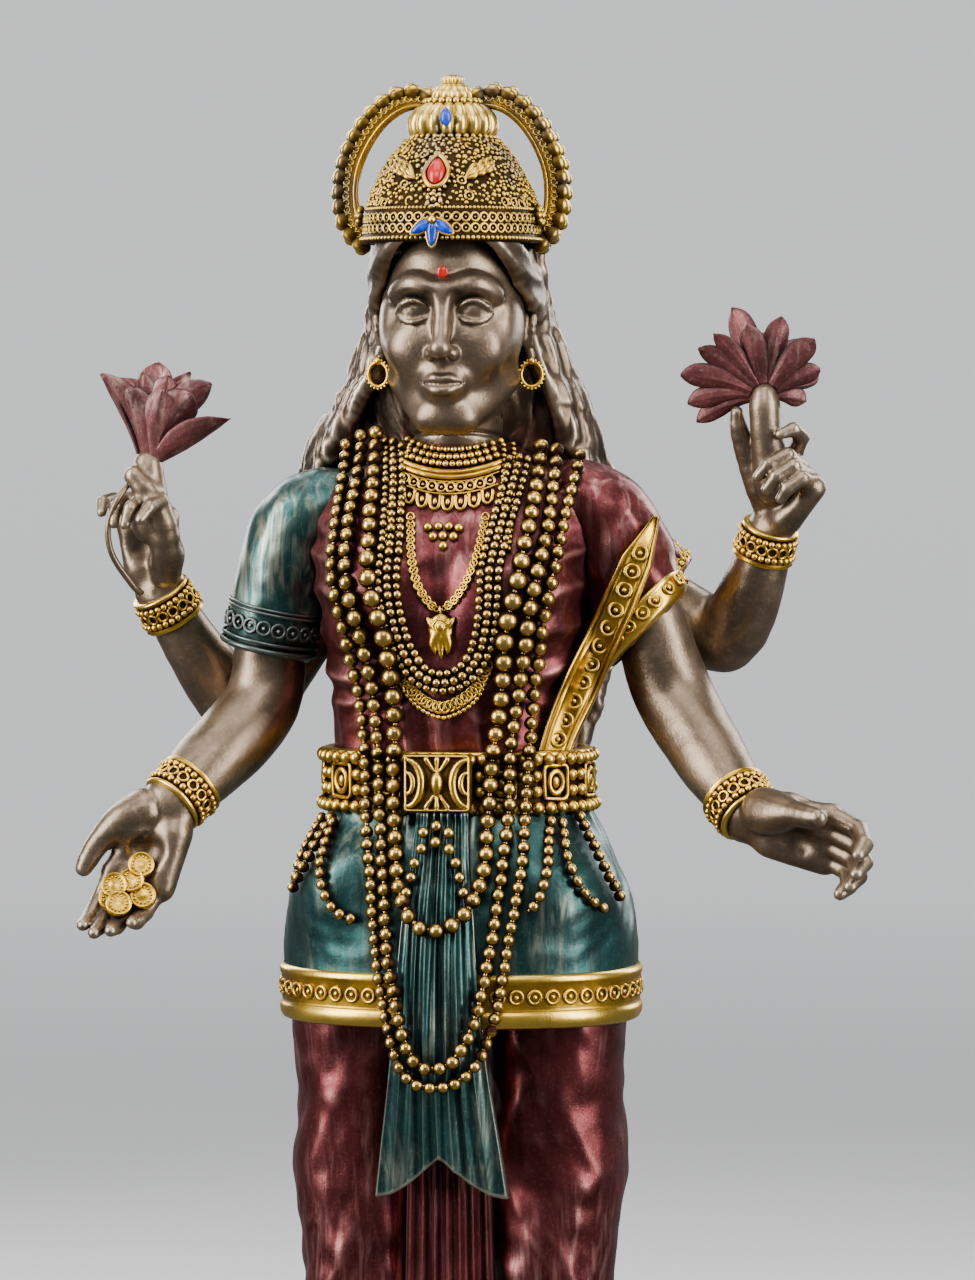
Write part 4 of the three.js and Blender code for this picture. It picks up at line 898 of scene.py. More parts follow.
save("left_rear_arm_cast", arm(
    (6, -15, 176), (60, 19, 225),
    [(11, 8.5, 201, 3.6), (22, 11, 194, 4.5), (32, 12.4, 187, 4.9), (37.4, 11, 184.8, 5.0),
     (41.6, 7.6, 191.2, 4.3), (44.6, 4.4, 200.2, 3.1)],
    (44.9, 3.8, 201.2), (0.50, -0.35, 0.78), (-0.60, -0.75, 0.10), -1,
    [(0.15, 0.95, 1.0), (1.05, 1.2, 0.6), (1.15, 1.2, 0.6), (1.25, 1.2, 0.6)],
    [(2.0, 2.6, 0.8, 2.1), (5.0, 5.6, 3.0, 1.8), (8.0, 8.0, 5.2, 1.45), (10.2, 9.2, 6.8, 1.2),
     (11.6, 9.9, 7.4, 1.0)],
    0.0, 1.0, plump=1.15,
    neck=[(45.4, 1.2, 206.0, 2.4), (44.9, 0.2, 211.0, 2.2), (44.4, -0.8, 215.0, 2.0),
          (44.3, -1.1, 217.8, 2.1), (44.3, -1.2, 219.4, 1.7)]),
    BRONZE, ("left_rear_arm",))


# ---------------------------------------------------------------- surface of the body, for what lies on it
class Relief:
    """The frontmost y of the pieces given, on a grid over x and z."""

    def __init__(self, names, low=(-32, 100), high=(32, 216), cell=0.5):
        self.low, self.cell = np.array(low, float), cell
        shape = [int((high[k] - low[k]) / cell) + 1 for k in (0, 1)]
        self.depth = np.full(shape, 99.0)
        for name in names:
            v, f = FORMS[name]
            self.press(np.vstack([v, v[f].mean(1)]))
        for _ in range(2):
            near = [np.roll(self.depth, s, a) for s in (-1, 1) for a in (0, 1)]
            self.depth = np.where(self.depth > 90, np.minimum.reduce(near), self.depth)

    def press(self, points):
        i = np.round((points[:, [0, 2]] - self.low) / self.cell).astype(int)
        ok = ((i >= 0) & (i < self.depth.shape)).all(1)
        np.minimum.at(self.depth, tuple(i[ok].T), points[ok, 1])

    def front(self, x, z, reach=0.0):
        x, z = np.atleast_1d(np.asarray(x, float)), np.atleast_1d(np.asarray(z, float))
        best = np.full(x.shape, 99.0)
        around = [(0, 0)] if reach <= 0 else [(0, 0)] + [(reach * math.cos(t), reach * math.sin(t))
                                                         for t in np.arange(8) * math.pi / 4]
        for dx, dz in around:
            q = (np.stack([x + dx, z + dz], -1) - self.low) / self.cell
            i = np.clip(np.floor(q).astype(int), 0, np.array(self.depth.shape) - 2)
            t = np.clip(q - i, 0, 1)
            corner = [self.depth[i[..., 0] + u, i[..., 1] + w] for u, w in ((0, 0), (1, 0), (0, 1), (1, 1))]
            value = ((corner[0] * (1 - t[..., 0]) + corner[1] * t[..., 0]) * (1 - t[..., 1])
                     + (corner[2] * (1 - t[..., 0]) + corner[3] * t[..., 0]) * t[..., 1])
            best = np.minimum(best, value)
        return best

    def facing(self, x, z, reach=1.2):
        """Unit normals, towards -y."""
        gx = (self.front(x + reach, z) - self.front(x - reach, z)) / (2 * reach)
        gz = (self.front(x, z + reach) - self.front(x, z - reach)) / (2 * reach)
        steep = np.stack([np.clip(gx, -2.2, 2.2), -np.ones_like(gx), np.clip(gz, -2.2, 2.2)], -1)
        return unit(steep)


BALL, BALL_SMALL, BALL_TINY = ball_mesh(12, 18), ball_mesh(8, 12), ball_mesh(6, 9)
RING = ring_mesh(1.0, 0.3, 16, 7)


def turned_to(normal, roll=0.0):
    """Rows: side, up and normal, for a piece whose own z points along normal."""
    n = unit(normal)
    ref = arr(0, 0, 1) if abs(n[2]) < 0.95 else arr(0, 1, 0)
    s = unit(np.cross(ref, n))
    u = np.cross(n, s)
    c, q = math.cos(roll), math.sin(roll)
    return np.array([c * s + q * u, -q * s + c * u, n])


def put_ball(pile, centre, radius, normal=(0, -1, 0), squash=(1, 1, 1), roll=0.0, mesh=None):
    v, q, t = mesh or (BALL if radius > 1.2 else BALL_SMALL if radius > 0.5 else BALL_TINY)
    # worn values: the outer cap rubbed bright, the sides and the side towards the body dark, partly
    # dry-brushed paint and partly painted shade
    pile.add((v * np.asarray(squash) * radius) @ turned_to(normal, roll) + centre, q, t,
             0.16 - 0.30 * smoothstep(0.25, 0.8, v[:, 2]))


def put_ring(pile, centre, radius, normal=(0, -1, 0), thick=1.0, squash=(1, 1, 1)):
    v, q = RING
    v = v * np.array([1, 1, thick])
    # worn values: the outer face rubbed bright, the side towards the body dark, partly paint and partly
    # painted shade
    pile.add((v * np.asarray(squash) * radius) @ turned_to(normal) + centre, q, None, 0.04 - 0.4 * v[:, 2])


def put_boss(pile, centre, ring, ball, normal, thick):
    """A small ring with a ball in its middle."""
    put_ring(pile, centre, ring, normal, thick)
    put_ball(pile, centre, ball, normal)


def put_tube(pile, line, radius, up=(0, -1, 0), sides=8, flat=1.0, closed=False):
    v, q, t = tube_mesh(np.asarray(line, float), radius, up, sides, flat, closed)
    pile.add(v, outward(v, q) if closed else q, t, np.full(len(v), -0.05))


def soften(values, soft):
    pad = np.pad(values, ((soft, soft),) + ((0, 0),) * (values.ndim - 1), "edge")
    return np.mean([pad[k:k + len(values)] for k in range(2 * soft + 1)], 0)


def laid(points, relief, radius, lift=0.7, count=240, soft=9):
    """A line through (x, z) points that lies on the relief, as [x, y, z] evenly spaced."""
    plan = spline([(x, 0, z) for x, z in points], count)
    x, z = plan[:, 0], plan[:, 2]
    y = relief.front(x, z, radius * 0.5)
    seen, index = y < 12, np.arange(count)
    last = np.interp(index, index[seen], z[seen])
    y = np.interp(index, index[seen], y[seen]) + 1.3 * np.abs(z - last) * ~seen
    y = soften(np.minimum(y, soften(y, soft)), soft)
    n = unit(soften(relief.facing(x, z, 1.6), soft))
    return spline(np.stack([x, y, z], 1) + n * radius * lift, count)


def beads_along(pile, line, radius, relief=None, gap=1.0, size=None, seed=1, stretch=1.0, skip=0.0):
    """Beads touching one another along a line. size(z) scales the radius."""
    r = np.random.default_rng(seed)
    step = np.linalg.norm(np.diff(line, axis=0), axis=1)
    s = np.concatenate([[0], np.cumsum(step)])
    at = skip
    while at < s[-1]:
        p = np.array([np.interp(at, s, line[:, k]) for k in range(3)])
        q = np.array([np.interp(min(at + 0.5, s[-1]), s, line[:, k]) for k in range(3)])
        rad = radius * (size(p[2]) if size else 1.0)
        n = relief.facing(p[:1], p[2:])[0] if relief is not None else arr(0, -1, 0)
        along = unit(q - p) if np.linalg.norm(q - p) > 1e-6 else arr(0, 0, 1)
        j = r.normal(size=3) * rad * 0.035
        m = np.array([unit(np.cross(along, n)), along, np.cross(unit(np.cross(along, n)), along)])
        v, quads, tris = BALL if rad > 1.2 else BALL_SMALL
        # worn values: the outer cap rubbed bright, the sides and the side towards the body dark, partly
        # dry-brushed paint and partly painted shade
        worn = 0.20 - 0.34 * smoothstep(0.42, 0.90, (v @ m) @ n)
        pile.add((v * (1, stretch, 1) * rad * r.uniform(0.97, 1.03)) @ m + p + j, quads, tris, worn)
        at += 2 * rad * gap * stretch
    return pile


# ---------------------------------------------------------------- legs, pleats, sash, hem
LEG = [(36.6, 8.2, 8.8, 0.5), (43, 7.0, 7.6, 0.6), (55, 7.0, 8.0, 0.8), (68, 7.8, 9.0, 1.1),
       (80, 7.8, 9.0, 0.3),
       (93, 8.5, 9.8, -0.8), (104, 9.4, 10.8, -0.6), (111, 9.8, 11.2, -0.3), (120, 9.3, 11.6, 0),
       (131, 9.5, 12.2, 0)]
HIP = {"right": -13.2, "left": 14.9}
ANKLE = {"right": -11.6, "left": 12.9}
HEM_Z, ANKLE_Z = 131.0, 36.5


def leg_table(side):
    """Sections of one leg, leaning from the hip to the ankle."""
    lean = (ANKLE[side] - HIP[side]) / (HEM_Z - ANKLE_Z)
    return [(z, hw, hd, y, HIP[side] + (HEM_Z - z) * lean) for z, hw, hd, y in LEG]


def leg(side):
    table = leg_table(side)
    c = Clay((HIP[side] - 13, -15.5, 35.6), (HIP[side] + 13, 15.5, 134), 0.5)
    c.put(sections(table, 2.2, low=37, high=132.5), 0)
    c.put(egg((HIP[side] * 0.93, -5.6, 77), (5.6, 4.2, 9.5)), 4.0)
    c.put(egg((ANKLE[side], 7.0, 66), (5.6, 4.2, 14)), 3.0)
    v, f = c.mesh(2)
    x, y, z = v.T
    s = 1 if side == "left" else -1
    a = np.arctan2(x - ANKLE[side], -y)
    u = s * (x - HIP[side])
    sweep = crease((z * 0.50 + u * 0.72) * 1.02 + 1.4 * wobble(v, 14, 51 + s), 1.6) * smoothstep(70, 92, z)
    fine = crease((z * 0.42 + u * 1.05) * 1.9 + 1.5 * wobble(v, 9, 53 + s), 1.5) * smoothstep(60, 86, z)
    fall = crease(a * 11 + 1.3 * wobble(v * (1, 1, 0.35), 9, 55 + s), 1.4) * (1 - smoothstep(60, 84, z))
    bunch = (crease(z * 1.5 + 1.8 * wobble(v, 8, 57 + s), 1.6) * (1 - smoothstep(44, 56, z))
             * smoothstep(40, 43, z))
    long = crease((x * 0.55 + y * 0.3 - z * 0.16 * s) * 1.5 + 2.2 * wobble(v * (1, 1, 0.5), 10, 61 + s), 1.3)
    thigh = smoothstep(84, 104, z)
    broad = (crease((z * 0.42 - u * 0.62 * s) * 0.62 + 1.2 * wobble(v, 20, 63 + s), 1.9)
             * smoothstep(88, 98, z))
    shares = (0.42 * sweep + 0.24 * fine + 0.34 * long) * (1 - 0.72 * thigh) + 0.5 * broad
    return pushed(v, f, shares + 0.6 * fall + 0.5 * bunch + 0.12 * wobble(v, 5, 59)), f


def cloth_sheet(name, outline, face, pleats, thick, count, material, replaces):
    """A hanging sheet: outline(t) gives left and right x and z at height share t; face(x, z) its front y."""
    n, m = count
    t, u = np.meshgrid(np.linspace(0, 1, n), np.linspace(-1, 1, m), indexing="ij")
    x, z = outline(t, u)
    y = face(x, z)
    fold = pleats(t, u)
    front = np.stack([x, y - fold, z], -1)
    rear = np.stack([x, y + thick, z], -1)
    v, f = grid_solid(front, rear)
    f = outward(v, f)
    v = relax(v, f, 0.3, 1)
    return save(name, (v, f), material, replaces, 6, 1.0)


for side in ("right", "left"):
    save(f"{side}_leg_cloth", leg(side), MAROON, (f"{side}_leg",))
BODY = Relief(["torso_blouse", "tunic_skirt"])


def front_pleats():
    def outline(t, u):
        z = 37 + t * 94.5
        half = np.interp(z, (37, 70, 110, 131), (8.8, 6.9, 5.8, 5.4))
        return 0.7 + u * half, z

    def face(x, z):
        bow = np.interp(z, (37, 70, 110, 131), (-8.4, -9.6, -12.2, -12.6))
        return bow + 0.03 * (x - 0.7) ** 2

    def pleats(t, u):
        return 0.9 * crease(u * 21 + 0.5 * np.sin(t * 5), 1.2) + 0.7 * np.sin(u * 2.4 + 1) ** 2

    cloth_sheet("front_pleat_fall", outline, face, pleats, 2.4, (150, 110), MAROON,
                ("front_pleats",))


def sash():
    def outline(t, u):
        notch = (1 - t) ** 2 * (2.6 * np.abs(np.sin(u * 1.57)) ** 1.2 * 2.2 - 2.0)
        z = 110.6 + t * 50.6 - notch
        half = np.interp(z, (104, 114, 123, 131, 139, 146, 154, 161),
                         (9.8, 8.5, 7.2, 6.2, 5.6, 5.1, 4.1, 3.7))
        return 0.5 + u * half, z

    def face(x, z):
        hang = np.interp(z, (100, 112, 124, 131, 139), (-16.4, -18.3, -20.4, -21.2, -21.2))
        on = BODY.front(x, np.clip(z, 134, 159.6), 0.8) - 0.9
        share = smoothstep(137.5, 150, z)
        return np.minimum(hang * (1 - share) + on * share, on + 6 * (z < 134)) + 0.012 * x * x

    def pleats(t, u):
        centre = np.exp(-((u / 0.1) ** 2)) * 0.5
        wave = crease(u * 25 + 0.7 * np.sin(t * 4 + 2 * u), 1.1)
        return (0.95 * wave * (0.7 + 0.3 * np.cos(u * 3)) + 0.9 * (1 - np.abs(u)) ** 0.5 - centre
                + 0.25 * np.sin(u * 9 + t * 7))

    cloth_sheet("sash_fall", outline, face, pleats, 1.2, (150, 130), TEAL, ("sash",))


front_pleats()
sash()


def ring_point(table, a, z, grow, power=2.3):
    """Point on a level superelliptical section, and its outward normal, for angles a (0 is the front)."""
    hw, hd, y0, x0 = (np.asarray(k) for k in column_at(table, z))
    hw, hd = hw + grow, hd + grow
    s, c = np.sin(a), np.cos(a)
    e = 2 / power
    x = hw * np.sign(s) * np.abs(s) ** e + x0
    y = -hd * np.sign(c) * np.abs(c) ** e + y0
    n = unit(np.stack([(x - x0) / hw**2, (y - y0) / hd**2, 0 * x], -1))
    return np.stack([x, y, z + 0 * x], -1), n


def even_angles(table, z, grow, count, power=2.3):
    """Angles at which count points are evenly spaced round a section."""
    a = np.linspace(0, 2 * math.pi, 1441)
    p, _ = ring_point(table, a, np.full_like(a, z), grow, power)
    s = np.concatenate([[0], np.cumsum(np.linalg.norm(np.diff(p, axis=0), axis=1))])
    return np.interp(np.arange(count) * s[-1] / count, s, a)


def ring_band(table, profile, count=220, power=2.3, ripple=None):
    """A closed band round a section table: profile rows are (z, out) round its cross-section."""
    a = turns(count)
    rows = []
    for z, out in profile:
        even = even_angles(table, z, 0, count, power)
        p, n = ring_point(table, even, np.full(count, float(z)), 0, power)
        extra = ripple(a, z) if ripple else 0
        rows.append(p + n * (out + (extra if out > 0.5 else 0))[:, None] if np.ndim(extra) else p + n * out)
    grid = np.array(rows)
    f = grid_quads(*grid.shape[:2], True)
    v = grid.reshape(-1, 3)
    p = v[f]
    vol = (np.einsum("ij,ij->i", p[:, 0], np.cross(p[:, 1], p[:, 2]))
           + np.einsum("ij,ij->i", p[:, 0], np.cross(p[:, 2], p[:, 3]))).sum()
    return v, f if vol > 0 else f[:, ::-1]


def tunic_hem():
    pile = Pile()
    profile = [(131.2, -0.6), (130.9, -0.1), (131.1, 0.35), (131.7, 0.65), (132.5, 0.72), (133.1, 0.6),
               (133.4, 0.3), (133.8, 0.35),
               (137.1, 0.35), (137.4, 0.55), (137.9, 0.62), (138.3, 0.45), (138.6, 0.15), (138.6, -0.4),
               (135, -0.9)]
    v, f = ring_band(TUNIC, profile, 260)
    pile.add(v, f, None, hollows(v, f, 3, 1.2))
    for a in even_angles(TUNIC, 135.4, 1.0, 56):
        p, n = ring_point(TUNIC, arr(a), arr(135.4), 0.35)
        put_ring(pile, p[0], 0.92, n[0], 1.0)
        put_ball(pile, p[0], 0.42, n[0], (1, 1, 0.6))
    pile.build("tunic_hem_gold", GOLD, "gold", ("tunic_hem",))


tunic_hem()
for side in ("right", "left"):
    table = leg_table(side)
    pile = Pile()
    v, f = ring_band(table,
                     [(37.4, 0.2), (37.2, 1.1), (37.7, 1.6), (38.3, 1.5), (38.6, 1.1), (40.7, 1.1),
                      (41, 1.4), (41.6, 1.45),
                             (42, 1.1), (41.9, 0.2), (39.5, -0.4)], 120, 2.2)
    pile.add(v, f, None, hollows(v, f, 3, 1.2))
    for a in even_angles(table, 39.6, 1.1, 30, 2.2):
        p, n = ring_point(table, arr(a), arr(39.6), 1.1, 2.2)
        put_ring(pile, p[0], 0.7, n[0], 1.2)
    pile.build(f"{side}_cuff_gold", GOLD, "gold", (f"{side}_leg_cuff",))


# ---------------------------------------------------------------- belt and buckle


def belt():
    pile = Pile()
    v, f = ring_band(TORSO,
                     [(160.7, 0.0), (160.6, 2.0), (160.9, 2.5), (161.4, 2.3), (162.2, 1.7), (167.8, 1.7),
                      (168.6, 2.3),
                             (169.1, 2.5), (169.4, 2.0), (169.3, 0.0), (165, -0.4)], 240)
    # the band's own surface is set darker, so it shows dark between the beads
    pile.add(v, f, None, hollows(v, f, 3, 1.2) + 0.2)

    def at(a, z, out):
        p, n = ring_point(TORSO, arr(a), arr(z), 0.0)
        return p[0] + n[0] * out, n[0]

    for z in (161.4, 168.3):
        for a in even_angles(TORSO, z, 2.4, 56):
            p, n = at(a, z, 2.3)
            put_ball(pile, p, 0.98, n)
    angles = even_angles(TORSO, 165, 2.0, 13 * 8)
    for unit_at in range(13):
        middle = angles[unit_at * 8]
        if min(abs(middle), 2 * math.pi - abs(middle)) > 0.12:
            p, n = at(middle, 165.0, 1.9)
            m = turned_to(n)
            square = [p + m[0] * x + m[1] * z + n * 0.35 for x, z in
                      ((-1.8, -2.2), (0, -2.35), (1.8, -2.2), (1.95, 0), (1.8, 2.2), (0, 2.35), (-1.8, 2.2),
                       (-1.95, 0))]
            line = spline(square + square[:1], 41)[:-1]
            put_tube(pile, line, 0.34, n, 6, closed=True)
            put_ring(pile, p + n * 0.35, 1.15, n, 1.3, (1, 1.35, 1))
            put_ball(pile, p + n * 0.3, 0.62, n, (1, 1.4, 0.8))
        for k in (3, 5):
            for z in (163.75, 165.95):
                p, n = at(angles[(unit_at * 8 + k) % len(angles)], z, 2.0)
                put_ball(pile, p, 0.95, n)
    pile.build("belt_band", GOLD, "gold", ("belt",))


def buckle():
    lo, hi = (arr(*v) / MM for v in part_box("belt_buckle"))
    cx, cz, front = (lo[0] + hi[0]) / 2, (lo[2] + hi[2]) / 2, lo[1]
    hw, hh = (hi[0] - lo[0]) / 2 - 0.15, (hi[2] - lo[2]) / 2 - 0.1
    c = Clay((cx - hw - 1, front - 1.2, cz - hh - 1), (cx + hw + 1, front + 4.5, cz + hh + 1), 0.16)
    c.put(brick((cx, front + 2.0, cz), (hw, 1.6, hh), edge=0.45), 0)
    c.put(brick((cx, front + 0.2, cz), (hw - 0.32, 0.75, hh - 0.32), edge=0.2), 0.15, cut=True)
    y = front + 0.8
    c.put(egg((cx, y - 0.1, cz), (0.85, 0.85, 1.6)), 0.15)
    for s in (-1, 1):
        swelling = np.linspace(0.15, 2.99, 9)
        stem(c, [(cx + s * (4.35 - 2.15 * math.sin(t)), y, cz + 3.3 * math.cos(t), 0.26 + 0.3 * math.sin(t))
                 for t in swelling], 16, 0.12)
        stem(c, [(cx + s * (4.3 - 0.95 * math.sin(t)), y, cz + 1.5 * math.cos(t), 0.18 + 0.2 * math.sin(t))
                 for t in swelling], 12, 0.12)
        for k in (-1, 0, 1):
            c.put(rod((cx + 0.45 * k, y, cz + s * 1.75), (cx + 1.5 * k, y, cz + s * 3.3), 0.2, 0.36), 0.12)
    v, f = c.mesh(1)
    # darker behind the front face, over the recessed field and what lies behind it
    worn = hollows(v, f, 5, 2.0) + 0.2 * smoothstep(front + 0.62, front + 0.9, v[:, 1]) - 0.05
    object_from("belt_buckle_plate", v, f, GOLD, {"worn": worn}, ("belt_buckle",))
    FORMS["belt_buckle_plate"] = (v, f)


belt()
buckle()
BODY = Relief(["torso_blouse", "tunic_skirt", "sash_fall", "head_casting", "belt_buckle_plate",
               "left_drape_cloth", "right_sleeve_cloth"])
for name in ("belt_band", "tunic_hem_gold"):
    mesh = bpy.data.objects[name].data
    corners = np.zeros(len(mesh.vertices) * 3)
    mesh.vertices.foreach_get("co", corners)
    BODY.press(corners.reshape(-1, 3) / MM)


# ---------------------------------------------------------------- bead strands
INNER = [(-10.3, 213.2), (-10.2, 209.5), (-10.0, 200), (-9.7, 193), (-7.8, 186), (-6.5, 178), (-5.8, 170),
         (-5.5, 160), (-4.9, 152.6),
         (-3.6, 148.2), (-1.9, 145.5), (0.2, 144.8), (2.8, 145.7), (5.0, 148.6), (6.5, 153.4), (6.9, 160),
         (7.3, 168), (8.3, 177), (9.0, 185), (10.7, 193), (11.9, 200.5), (12.4, 208.6), (12.7, 212.6)]
MIDDLE = [(-12.8, 212.8), (-12.6, 209), (-12.9, 203), (-13.1, 195), (-11.3, 187), (-9.5, 178.4), (-8.4, 168),
          (-7.7, 155), (-6.2, 143),
          (-4.5, 134.5), (-3.4, 129.2), (-2.0, 126.6), (0.2, 125.9), (2.8, 126.9), (5.2, 131.4),
          (7.0, 139.5), (8.7, 149),
          (9.7, 160), (9.6, 169.6), (11.0, 180.5), (12.3, 189.8), (13.9, 198.1), (15.0, 207), (15.6, 211.8)]
OUTER = [(-15.1, 211.6), (-14.9, 208), (-15.1, 202), (-15.0, 194), (-13.4, 187), (-11.5, 178), (-10.3, 168),
         (-9.8, 156), (-8.2, 142),
         (-6.3, 133), (-4.6, 126.6), (-2.8, 124), (0.2, 123.2), (3.6, 124.1), (6.3, 127.3), (8.6, 134),
         (10.2, 143), (11.8, 152.6),
         (11.9, 164), (12.4, 177), (14.0, 188.2), (15.8, 198), (17.4, 206.5), (18.4, 211.2)]


def swell(z):
    """Beads are largest on the chest and smaller at the neck and at the bottom."""
    return 0.80 + 0.24 * math.exp(-((z - 188) / 13) ** 2) + 0.06 * math.exp(-((z - 160) / 16) ** 2)


LINES = {}
for name, points, radius, node_name, seed in (
        ("inner", INNER, 1.38, "long_strand_inner", 1), ("middle", MIDDLE, 1.23, "long_strand_middle", 2),
        ("outer", OUTER, 1.11, "long_strand_outer", 3)):
    pile = Pile()
    line = laid(points, BODY, radius, 0.78)
    LINES[name] = line
    put_tube(pile, line[::3], 0.35, (0, -1, 0), 6)
    beads_along(pile, line, radius, BODY, 1.02, swell, seed)
    pile.build(f"bead_{node_name}", BRASS, "gold", (node_name,))


def small_jewellery():
    # three rows of small beads from the neck to the chest
    pile = Pile()
    rope = spline([(-7.9, 0, 212.4), (-7.3, 0, 206), (-7.1, 0, 199), (-7.3, 0, 192.7), (-6.3, 0, 187),
                   (-4.8, 0, 183), (-2.8, 0, 180.2),
                   (0.3, 0, 179.2), (3.4, 0, 180.4), (5.6, 0, 183.6), (6.9, 0, 189), (7.2, 0, 194.6),
                   (8.0, 0, 200), (9.2, 0, 206), (9.9, 0, 211.6)], 160)
    aside = unit(np.cross(np.gradient(rope, axis=0), arr(0, 1, 0)))
    for k, shift in enumerate((-1.2, 0.0, 1.2)):
        line = laid((rope + aside * shift)[:, [0, 2]][::6], BODY, 0.7, 0.9 + 0.45 * (k == 1))
        beads_along(pile, line, 0.68, BODY, 0.97, lambda z: 0.94 + 0.1 * math.sin(z * 2.1 + k), 5 + k, 1.0,
                    0.5 * k)
    pile.build("chest_bead_rope_cast", BRASS, "gold", ("chest_bead_rope",))

    pile = Pile()
    line = laid([(-6.4, 182.2), (-4.4, 178.2), (0, 175.6), (4.6, 178.0), (6.8, 182.2)], BODY, 0.5, 0.7, 90)
    for p in line[2:-2:4]:
        n = BODY.facing(p[:1], p[2:])[0]
        put_ring(pile, p, 0.74, n, 1.2)
    low = laid([(-6.6, 180.8), (-4.4, 176.6), (0, 174.2), (4.6, 176.4), (7.0, 180.8)], BODY, 0.4, 0.7, 90)
    beads_along(pile, low, 0.36, BODY, 1.1, None, 4)
    put_tube(pile, low[::4], 0.2)
    pile.build("lace_chain_links", GOLD, "gold", ("lace_chain",))

    pile = Pile()
    for points in ([(-4.6, 202.4), (-4.3, 197.5), (-3.4, 193.2), (-1.8, 190.4), (-0.3, 189.2)],
                   [(6.0, 202.4), (5.4, 198), (4.2, 194), (2.2, 190.8), (0.2, 189.3)]):
        line = laid(points, BODY, 0.45, 0.8, 80)
        for k, p in enumerate(line[1:-1:3]):
            n = BODY.facing(p[:1], p[2:])[0]
            q = line[min(1 + 3 * k + 3, 79)] - p
            roll = math.atan2(q[0], -q[2])
            v, quads = RING
            m = turned_to(n, roll)
            flip = (0.55, 0.95, 1.0) if k % 2 else (0.95, 0.95, 1.0)
            # worn values: the outer face rubbed bright, the side towards the body dark, partly paint and
            # partly painted shade
            pile.add((v * np.array(flip) * 0.56) @ m + p, quads, None, 0.04 - 0.4 * v[:, 2])
    pile.build("pendant_chain_links", GOLD, "gold", ("pendant_chain",))

    # pendant: a leaf with a boss, a rib and veins
    y = BODY.front(0, 186, 1.5)[0]
    c = Clay((-3.2, y - 2.4, 181.5), (3.2, y + 1.4, 191), 0.13)
    c.put(egg((0, y - 0.1, 186.6), (1.75, 0.8, 2.2)), 0)
    for s in (-1, 0, 1):
        stem(c, [(s * 0.5, y - 0.2, 186, 0.7), (s * 1.1, y - 0.2, 184.6, 0.5),
                 (s * 0.9 + 0.1, y - 0.2, 183.2 - 0.7 * (s == 0), 0.16)], 7, 0.35)
        stem(c, [(s * 1.2, y - 0.3, 187.2, 0.5), (s * 1.9, y - 0.2, 188.2, 0.2)], 4, 0.3)
    c.put(egg((0, y - 0.75, 187.0), (0.62, 0.55, 0.72)), 0.12)
    c.put(torus((0, y - 0.75, 187.0), (0, 1, 0), 0.95, 0.16), 0.1)
    for k in range(5):
        c.put(rod((0, y - 1.0, 185.9 - 0.1 * k), ((k - 2) * 0.5, y - 0.95, 183.7 + 0.25 * abs(k - 2)), 0.09),
              0.12, cut=True)
    c.put(torus((0, y - 0.3, 189.3), (1, 0, 0.2), 0.5, 0.18), 0.1)
    save("pendant_leaf", c.mesh(1), GOLD, ("pendant",), 5, 2.5)


def choker():
    pile = Pile()

    def at(x, z, out):
        dip = 0.030 * (x - 0.5) ** 2
        zz = z + dip
        y = BODY.front(x, zz, 0.4)[0]
        n = unit(BODY.facing(arr(x), arr(zz), 1.6)[0] * (1, 1, 0.5))
        return arr(x, y, zz) + n * out, n

    for row, z in enumerate((209.55, 210.55, 211.6)):
        for x in np.arange(-6.4 + 0.45 * (row % 2), 7.2, 0.98):
            p, n = at(x + 0.3, z, 0.35)
            put_ball(pile, p, 0.55, n)
    for z in (207.7, 208.4):
        line = np.array([at(x, z, 0.45)[0] for x in np.linspace(-6.2, 7.4, 50)])
        put_tube(pile, line, 0.42)
    for x in np.arange(-5.9, 7.2, 1.34):
        p, n = at(x, 206.3, 0.4)
        put_boss(pile, p, 0.66, 0.24, n, 1.2)
    for z in (205.4, 207.1):
        line = np.array([at(x, z, 0.3)[0] for x in np.linspace(-6.4, 7.4, 50)])
        put_tube(pile, line, 0.16, sides=6)
    for x in np.linspace(-5.0, 6.0, 7):
        p, n = at(x, 204.2, 0.3)
        m = turned_to(n)
        loop = [(-0.72, 1.0), (-0.74, 0.1), (-0.5, -0.75), (0, -1.1), (0.5, -0.75), (0.74, 0.1), (0.72, 1.0)]
        put_tube(pile, spline([p + m[0] * dx + m[1] * dz + n * 0.1 for dx, dz in loop], 18), 0.25, n, 7)
        put_ball(pile, p + m[1] * 0.1, 0.42, n, (0.8, 1.3, 0.7))
    # a cluster of round bosses under the choker
    for x, z in ((-2.1, 200.9), (-0.6, 201.0), (0.9, 201.0), (2.3, 200.8), (-1.3, 199.6), (0.1, 199.7),
                 (1.6, 199.6), (0.2, 198.3)):
        y = BODY.front(x, z, 0.3)[0]
        put_ball(pile, arr(x, y - 0.3, z), 0.66, (0, -1, 0))
    # fine bead columns down the sides of the neck
    for k, x0 in enumerate((-7.4, -6.1, 7.9, 9.2)):
        s = -1 if x0 < 0 else 1
        line = laid([(x0 - 0.6 * s, 212.0), (x0, 208.5), (x0 + 0.3 * s, 203), (x0 + 0.3 * s, 197)], BODY,
                    0.45, 0.9, 80)
        beads_along(pile, line, 0.47, BODY, 1.02, None, 20 + k)
    pile.build("choker_bands", GOLD, "gold", ("choker",))


